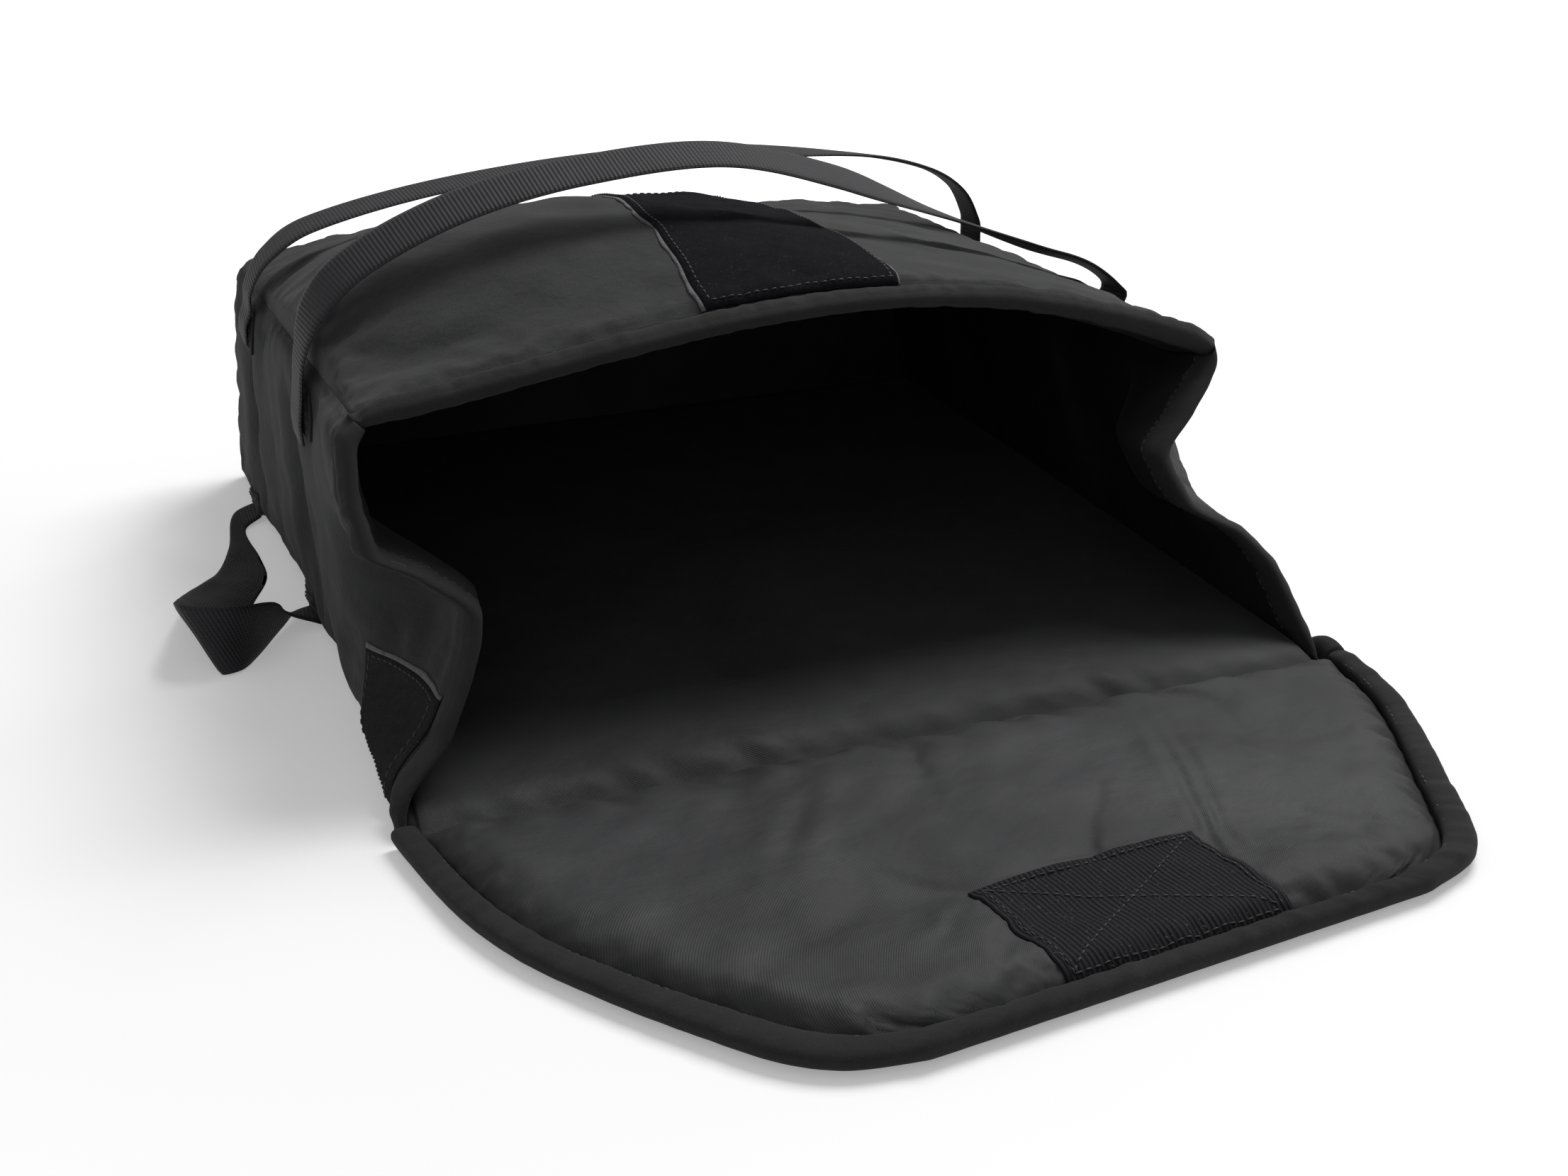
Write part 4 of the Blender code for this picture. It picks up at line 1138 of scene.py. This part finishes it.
# %% Welt round the flap
WELT_POINTS = 18


def outline_at(share, inset):
    """Outline inside an inset: up the left side, across the tip, back down the right side, for shares 0 to 1."""
    side = np.clip(np.minimum(share, 1 - share) / 0.36, 0, 1)
    reach = mix(-0.0056, FLAP_LENGTH - inset, np.sin(side * np.pi / 2))
    tip = np.clip((share - 0.36) / 0.28, 0, 1) * 2 - 1
    left, right = -flap_half(reach, inset, -1), flap_half(reach, inset, 1)
    x = np.where(side < 1, np.where(share < 0.5, left, right), mix(left, right, (tip + 1) / 2))
    return flap_place(reach, x, 0.0)


share = np.linspace(0, 1, 560)
turn = np.linspace(0, 2 * np.pi, WELT_POINTS, endpoint=False) + np.pi / WELT_POINTS
inset_share = 0.5 - 0.5 * np.sign(np.cos(turn)) * np.abs(np.cos(turn)) ** 0.75
rise_share = 0.5 + 0.5 * np.sign(np.sin(turn)) * np.abs(np.sin(turn)) ** 0.75
gather = 1.2 * soft_noise(outline_at(share, 0.0), 0.011, 95) + 0.8 * soft_noise(outline_at(share, 0.0), 0.05, 96)
rings = np.stack([outline_at(share, WELT_WIDTH * k) for k in inset_share], 1)
top = WELT_HEIGHT * (1 + 0.045 * gather)[:, None] * rise_share[None]
weights = bell(np.arange(-9, 10), 5.0)
padded = np.concatenate((rings[:1].repeat(9, 0), rings, rings[-1:].repeat(9, 0)))
rings = sum(w * padded[k : k + len(rings)] for k, w in enumerate(weights / weights.sum()))
rings[..., 2] = WELT_BOTTOM + top
behind = ((rings[..., 1] - HINGE) / 0.0056).clip(0, 1) ** 2
rings[..., 2] = mix(rings[..., 2], 0.0062 + (rings[..., 2] - 0.0062) * 0.6, behind)
welt = loft("flap_welt", rings)
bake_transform(welt)
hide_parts("flap_welt_left", "flap_welt_right", "flap_welt_tip")
welt_line = outline_at(np.linspace(0.02, 0.98, 800), WELT_WIDTH * 0.90) + (0, 0, 0.0090)
stitches("flap_stitches", [(welt_line, (0.0, 0.0, 1.0))], FLAP_TURN)
print("welt", len(welt.data.polygons), "faces")

# %% Corner tuck
share = np.linspace(0, 1, 30)[:, None]
fall = (1 - share**2.2).clip(0.03)
tuck = np.stack((
    mix(0.2476 + 0.0094 * fall, 0.2438 + 0.0030 * rise_share[None], inset_share[None]),
    HINGE + 0.0062 + 0.030 * share + 0 * inset_share[None],
    0.0004 + (0.0100 + 0.0035 * arc(share)) * fall * rise_share[None],
), -1)
corner_tuck = loft("corner_tuck", tuck)
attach(corner_tuck, "bag")
print("corner tuck", len(corner_tuck.data.polygons), "faces")

# %% Hinge strip
y, x = np.meshgrid(np.linspace(-0.280, -0.250, 26), np.linspace(-0.231, 0.231, 90), indexing="ij")
hinge = loft("hinge_strip", between(np.stack((x, y, 0 * x + 0.0015), -1), np.stack((x, y, 0 * x + 0.0004), -1)))
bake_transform(hinge)
print("hinge strip", len(hinge.data.polygons), "faces")

# %% [markdown]
# ## Hook patch
# The stiff half of the fastener is a woven tape of fine cords, sewn to the flap with a border and a cross. It
# is cut from the flap's own grid, so it dips and rises with the pad. Its cords run away from the hinge.

# %% Hook patch
rows = np.linspace(*((at - 0.0006) / (PAD_END - 0.0006) for at in HOOK_ALONG), 50)
columns = np.linspace(0.5 - HOOK_SHARE / 2, 0.5 + HOOK_SHARE / 2, 66)
hook, hook_outer, hook_normal = laid_on(
    "hook_patch_tape", flap_cloth, rows, columns, 0.0017, "hook_patch", "flap_tip",
    wave=0.002, seed=97,
)
hook_paths = border(hook_outer, hook_normal, 0.05, 0.035) + cross_lines(hook_outer, hook_normal, 0.07, 0.05)
stitches("hook_stitches", hook_paths, "flap_tip")
print("hook patch", len(hook.data.polygons), "faces")

# %% [markdown]
# ## Materials
# Each cloth is a small network: a pattern at its real size from the piece's own UV map in metres, a slow change
# of tone from soft noise on object coordinates, and both of them again as bump. A black cloth is never one flat
# colour: the weave, with painted shade in its hollows, the nap and the dust in it give it several greys. A helper
# adds nodes and links in one line.

# %% Node helpers
class Network:
    """A node tree being built: node() adds a node with values and links, and math() is one arithmetic step."""

    def __init__(self, tree):
        self.tree = tree

    def node(self, kind, settings=None, **inputs):
        made = self.tree.nodes.new(kind)
        for key, value in (settings or {}).items():
            setattr(made, key, value)
        for key, value in inputs.items():
            self.feed(made.inputs[int(key[1:]) if key[0] == "_" else key.replace("_", " ")], value)
        return made

    def feed(self, socket, value):
        if isinstance(value, bpy.types.NodeSocket):
            self.tree.links.new(value, socket)
        else:
            socket.default_value = value

    def math(self, operation, a, b=0.0, c=0.0):
        return self.node("ShaderNodeMath", {"operation": operation}, _0=a, _1=b, _2=c).outputs[0]


class Cloth(Network):
    """A cloth's material: a shader with its finish, and the coordinates that its patterns run on."""

    def __init__(self, name, roughness, sheen=0.0, sheen_roughness=0.5, specular=0.5):
        self.made = bpy.data.materials.new(name)
        self.made.use_nodes = True
        super().__init__(self.made.node_tree)
        self.shader = self.tree.nodes["Principled BSDF"]
        self.shader.inputs["Roughness"].default_value = roughness
        self.shader.inputs["Sheen Weight"].default_value = sheen
        self.shader.inputs["Sheen Roughness"].default_value = sheen_roughness
        self.shader.inputs["Specular IOR Level"].default_value = specular
        place = self.tree.nodes.new("ShaderNodeTexCoord")
        self.uv, self.object = place.outputs["UV"], place.outputs["Object"]
        split = self.node("ShaderNodeSeparateXYZ", Vector=self.uv)
        self.u, self.v = split.outputs[0], split.outputs[1]

    def weighed(self, first, weight, second, rest):
        """Two patterns, each times its weight, added."""
        return self.math("MULTIPLY_ADD", first, weight, self.math("MULTIPLY", second, rest))

    def noise(self, scale, detail=2.0, stretch=(1, 1, 1)):
        at = self.node("ShaderNodeVectorMath", {"operation": "MULTIPLY"}, _0=self.object, _1=stretch).outputs[0]
        return self.node("ShaderNodeTexNoise", Vector=at, Scale=scale, Detail=detail).outputs["Fac"]

    def wave(self, along, pitch, shift=0.0):
        """A soft row of ridges from 0 to 1 at a set pitch in metres."""
        turn = self.math("MULTIPLY_ADD", along, 2 * np.pi / pitch, shift)
        return self.math("MULTIPLY_ADD", self.math("SINE", turn), 0.5, 0.5)

    def scaled(self, value, low, high, out_low=0.0, out_high=1.0):
        return self.node("ShaderNodeMapRange", _0=value, _1=low, _2=high, _3=out_low, _4=out_high).outputs[0]

    def blend(self, factor, first, second, how="MIX"):
        """One colour laid over another by a factor; each is a socket, a linear colour or a linear grey."""
        ends = []
        for colour in (first, second):
            if not isinstance(colour, bpy.types.NodeSocket):
                colour = (colour, colour, colour, 1.0) if np.isscalar(colour) else (*colour, 1.0)
            ends.append(colour)
        settings = {"data_type": "RGBA", "blend_type": how}
        return self.node("ShaderNodeMix", settings, _0=factor, _6=ends[0], _7=ends[1]).outputs[2]

    def finish(self, colour, bumps, roughness=None):
        """Link the colour and a chain of bumps, each a height from 0 to 1 with its depth in metres."""
        self.feed(self.shader.inputs["Base Color"], colour)
        if roughness is not None:
            self.feed(self.shader.inputs["Roughness"], roughness)
        normal = None
        for height, depth in bumps:
            bump = self.node("ShaderNodeBump", Height=height, Distance=depth)
            if normal is not None:
                self.tree.links.new(normal, bump.inputs["Normal"])
            normal = bump.outputs["Normal"]
        self.tree.links.new(normal, self.shader.inputs["Normal"])
        return self.made


def tone(cloth, dark, light):
    """Slow tone change, mid mottling and fine nap, added into one factor."""
    slow, middle, fine = cloth.noise(7), cloth.noise(45, 3), cloth.noise(900, 1)
    total = cloth.math("MULTIPLY_ADD", slow, 0.5, cloth.weighed(middle, 0.3, fine, 0.2))
    return cloth.blend(cloth.scaled(total, 0.36, 0.64), dark, light)


print("node helpers ready")

# %% [markdown]
# ## Outer cloth, lining and binding
# The outer cloth is a tight plain weave of coarse polyester: two sets of threads at 0.7 mm that pass over and
# under each other. The lining is a finer twill, whose diagonal ribs rise to one side at about 50 degrees and
# catch the light, so it is smoother and brighter along its folds. Inside the bag it is painted nearly black, a
# painted shade for the dim room inside. The binding is the outer cloth cut on the slant.

# %% Woven cloths
def plain_weave(name, dark, light, pitch, roughness, sheen, slant=0.0):
    """Threads over and under: two rows of ridges whose product makes small cushions."""
    cloth = Cloth(name, roughness, sheen, 0.45, 0.30)
    u, v = cloth.u, cloth.v
    if slant:
        u, v = cloth.math("ADD", cloth.u, cloth.v), cloth.math("SUBTRACT", cloth.u, cloth.v)
    warp, weft = cloth.wave(u, pitch), cloth.wave(v, pitch)
    weave = cloth.weighed(warp, 0.5, weft, 0.5)
    # Painted shade: the colour is darkened in the gaps between the threads.
    shaded = cloth.scaled(weave, 0.0, 1.0, 0.55, 0.0)
    colour = cloth.blend(shaded, tone(cloth, dark, light), 0.45, "MULTIPLY")
    return cloth.finish(colour, ((cloth.noise(38, 3), 0.0020), (cloth.noise(320, 2), 0.00030), (weave, 0.00018)))


def twill(name, dark, light, pitch, roughness, sheen):
    """Diagonal ribs: ridges along the sum of both directions, broken up by the weft that crosses them."""
    cloth = Cloth(name, roughness, sheen, 0.35, 0.30)
    slanted = cloth.weighed(cloth.u, 0.77, cloth.v, 0.64)
    ribs, weft = cloth.wave(slanted, pitch), cloth.wave(cloth.v, pitch * 0.5)
    weave = cloth.weighed(ribs, 0.75, weft, 0.25)
    # Painted shade: the colour is darkened in the gaps between the ribs and the weft.
    shaded = cloth.scaled(weave, 0.0, 1.0, 0.35, 0.0)
    colour = cloth.blend(shaded, tone(cloth, dark, light), (0.40, 0.40, 0.42), "MULTIPLY")
    wrinkle = cloth.noise(26, 3, stretch=(1.0, 1.5, 1.0))
    gloss = cloth.scaled(cloth.noise(9), 0.35, 0.65, roughness - 0.05, roughness + 0.07)
    return cloth.finish(colour, ((wrinkle, 0.0017), (cloth.noise(110, 2), 0.0003), (weave, 0.00008)), gloss)


outer_cloth = plain_weave("outer_cloth", (0.030, 0.031, 0.031), (0.050, 0.052, 0.051), 0.0007, 0.88, 0.08)
lining_cloth = twill("lining_cloth", (0.025, 0.0255, 0.027), (0.042, 0.043, 0.045), 0.0009, 0.62, 0.05)
# Painted shade: the side, top and back linings are the lining twill made nearly black, for the dim room inside the bag.
painted_shade_lining_cloth = twill("painted_shade_lining_cloth", (0.007, 0.007, 0.0075), (0.013, 0.013, 0.014), 0.0009, 0.60, 0.02)
binding_cloth = plain_weave("binding_cloth", (0.014, 0.0143, 0.0145), (0.024, 0.0245, 0.0245), 0.0007, 0.88, 0.05, 1.0)
print("woven cloths:", outer_cloth.name, lining_cloth.name, painted_shade_lining_cloth.name, binding_cloth.name)

# %% [markdown]
# ## Webbing, pile and hooks
# Webbing shows as close cross ribs, 2.3 mm apart, because thick cords run across under the woven face, and its
# colour carries painted shade between the ribs. Pile is a mat of tiny loops, so it has no direction: fine noise in
# height, with a few pale fibres and fluff. The hook tape is a row of cords with painted shade between them, and
# each cord carries small bright points, painted glints where the hooks catch the light.

# %% Narrow fabrics
def webbing_cloth():
    """Cross ribs along the strap, with yarns side by side along it."""
    cloth = Cloth("webbing_cloth", 0.68, 0.10, 0.35, 0.30)
    ribs = cloth.wave(cloth.u, 0.0023)
    yarn = cloth.wave(cloth.v, 0.0016)
    weave = cloth.weighed(ribs, 0.7, yarn, 0.3)
    # Painted shade and tone: the colour is darker between the ribs, mixed with a random change of tone.
    ridge_shade_and_tone = cloth.weighed(weave, 0.6, cloth.noise(60, 3), 0.4)
    colour = cloth.blend(ridge_shade_and_tone, (0.007, 0.007, 0.0085), (0.032, 0.031, 0.036))
    return cloth.finish(colour, ((cloth.noise(50, 2), 0.0006), (weave, 0.00045)))


def pile_cloth(name, dark, light):
    """Mat of loops: fine noise in height and colour, with rare pale fibres."""
    cloth = Cloth(name, 1.0, 0.0, 0.6, 0.03)
    loops, clumps = cloth.noise(1500, 2), cloth.noise(160, 4)
    fibre = cloth.scaled(cloth.noise(900, 1), 0.70, 0.76)
    base = cloth.blend(cloth.weighed(loops, 0.5, clumps, 0.5), dark, light)
    colour = cloth.blend(cloth.math("MULTIPLY", fibre, 0.35), base, (0.16, 0.16, 0.17))
    return cloth.finish(colour, ((clumps, 0.0007), (loops, 0.0006)))


def hook_cloth():
    """Cords side by side with painted shade between them, and bright points along them: painted glints on each hook's
    tip.
    """
    cloth = Cloth("hook_cloth", 0.75, 0.0, 0.4, 0.12)
    cords = cloth.wave(cloth.v, 0.0024)
    # Painted glints: pale points where the black hooks would catch the light, also used as small bumps.
    hook_tip_glints = cloth.scaled(cloth.noise(700, 1), 0.66, 0.74)
    # Painted shade and tone: the colour is darker between the cords, mixed with a random change of tone.
    ridge_shade_and_tone = cloth.weighed(cords, 0.6, cloth.noise(80, 3), 0.4)
    base = cloth.blend(ridge_shade_and_tone, (0.005, 0.005, 0.006), (0.026, 0.025, 0.029))
    colour = cloth.blend(cloth.math("MULTIPLY", hook_tip_glints, 0.4), base, (0.15, 0.15, 0.17))
    return cloth.finish(colour, ((cloth.noise(45, 2), 0.0010), (cords, 0.0006), (hook_tip_glints, 0.0003)))


webbing, hooks = webbing_cloth(), hook_cloth()
pile = pile_cloth("pile_cloth", (0.006, 0.006, 0.0075), (0.022, 0.022, 0.026))
worn_pile = pile_cloth("worn_pile_cloth", (0.013, 0.013, 0.014), (0.050, 0.050, 0.053))
pale = Cloth("selvedge_cloth", 0.85, 0.1, 0.5, 0.25)
selvedge_cloth = pale.finish(
    pale.blend(pale.noise(260, 3), (0.060, 0.060, 0.062), (0.210, 0.210, 0.215)), ((pale.noise(600, 2), 0.0004),),
)
yarn = Cloth("thread_yarn", 0.55, 0.2, 0.4, 0.45)
thread_yarn = yarn.finish(yarn.blend(yarn.noise(500, 1), 0.010, 0.026), ((yarn.noise(1800, 1), 0.0001),))
print("narrow fabrics:", webbing.name, pile.name, hooks.name, selvedge_cloth.name)

# %% Give each piece its cloth
FINISHES = (
    (outer_cloth, ("left_pad", "right_pad", "top_pad", "back_pad", "floor_pad", "flap_outer_sheet", "hinge_strip")),
    (lining_cloth, ("floor_lining_sheet", "flap_pad")),
    (painted_shade_lining_cloth, ("left_lining_sheet", "right_lining_sheet", "top_lining_sheet", "back_lining_sheet")),
    (binding_cloth, ("top_binding_tape", "left_binding_tape", "right_binding_tape", "flap_welt", "corner_tuck")),
    (webbing, ("front_carry_strap", "rear_carry_strap", "grab_loop") + tuple(tab[0] for tab in TABS)),
    (pile, ("pile_strip",)),
    (worn_pile, ("left_pile_patch", "right_pile_patch")),
    (hooks, ("hook_patch_tape",)),
    (selvedge_cloth, tuple(piece.name for piece in selvedges)),
    (thread_yarn, ("mouth_stitches", "pile_stitches", "tab_stitches", "flap_stitches", "hook_stitches")),
)
for cloth, names in FINISHES:
    for name in names:
        bpy.data.objects[name].data.materials.clear()
        bpy.data.objects[name].data.materials.append(cloth)
print(sum(len(names) for _, names in FINISHES), "pieces have a finish")

# %% [markdown]
# ## Floor and light
# The bag stands on a plain white floor under soft studio light: a pale dome all round, a wide lamp above and
# behind to the right, which throws the soft shadow to the front left, and a weak one in front. For the camera
# the floor and the dome are simply white, and the floor darkens where the bag shades it. The floor's white glow
# is also weaker near the bag and stronger away from it, a painted shade round the bag.

# %% Floor, world and lamps
def seen_by(net, first, *others):
    """One for the named kinds of ray and zero for the rest."""
    rays = net.node("ShaderNodeLightPath").outputs
    flag = rays[f"Is {first} Ray"]
    for ray in others:
        flag = net.math("MAXIMUM", flag, rays[f"Is {ray} Ray"])
    return flag


y, x = np.meshgrid(np.linspace(-7, 9, 3), np.linspace(-8, 8, 3), indexing="ij")
flat_grid = np.stack((x, y, 0 * x), -1)
r, c = np.mgrid[0:2, 0:2]
quads = np.stack((r * 3 + c, r * 3 + c + 1, (r + 1) * 3 + c + 1, (r + 1) * 3 + c), -1).reshape(-1, 4)
studio_floor = build("studio_floor", flat_grid.reshape(-1, 3), quads, np.zeros((4, 4, 2)))
ground = bpy.data.materials.new("studio_floor")
ground.use_nodes = True
net = Network(ground.node_tree)
net.tree.nodes.remove(net.tree.nodes["Principled BSDF"])
matte = net.node("ShaderNodeBsdfDiffuse", Color=(0.80, 0.80, 0.80, 1.0))
middle_out = net.node("ShaderNodeTexCoord").outputs["Object"]
away = net.node("ShaderNodeVectorMath", {"operation": "LENGTH"}, _0=middle_out).outputs["Value"]
# Painted shade: the camera's white glow is weaker near the bag, so the floor round it is painted darker than the lamps
# alone make it.
painted_shade_near_bag = net.node(
    "ShaderNodeMapRange", {"interpolation_type": "SMOOTHSTEP"}, _0=away, _1=0.45, _2=1.30, _3=0.28, _4=0.75,
)
strength = net.math("MULTIPLY", seen_by(net, "Camera", "Glossy", "Transmission"), painted_shade_near_bag.outputs[0])
glow = net.node("ShaderNodeEmission", Color=(1.0, 1.0, 1.0, 1.0), Strength=strength)
both = net.node("ShaderNodeAddShader", _0=matte.outputs[0], _1=glow.outputs[0])
net.feed(net.tree.nodes["Material Output"].inputs["Surface"], both.outputs[0])
studio_floor.data.materials.append(ground)

world = bpy.data.worlds.new("studio")
bpy.context.scene.world = world
world.use_nodes = True
net = Network(world.node_tree)
level = net.node("ShaderNodeMapRange", _0=seen_by(net, "Camera", "Transmission"), _3=0.30, _4=1.0)
background = net.tree.nodes["Background"]
background.inputs["Color"].default_value = (1.0, 1.0, 1.0, 1.0)
net.feed(background.inputs["Strength"], level.outputs[0])


def lamp(name, place, target, size, power):
    """Square soft lamp that looks at a target."""
    data = bpy.data.lights.new(name, "AREA")
    data.energy, data.size = power, size
    made = bpy.data.objects.new(name, data)
    bpy.context.scene.collection.objects.link(made)
    made.location = place
    made.rotation_euler = (Vector(target) - Vector(place)).to_track_quat("-Z", "Y").to_euler()
    return made


lamp("key_lamp", (1.9, 1.2, 3.3), (0.0, -0.1, 0.1), 2.1, 132)
lamp("front_lamp", (-0.9, -2.0, 1.2), (0.0, -0.1, 0.1), 1.2, 3)
bpy.context.scene.view_settings.view_transform = "Standard"
print("floor, world and two lamps")
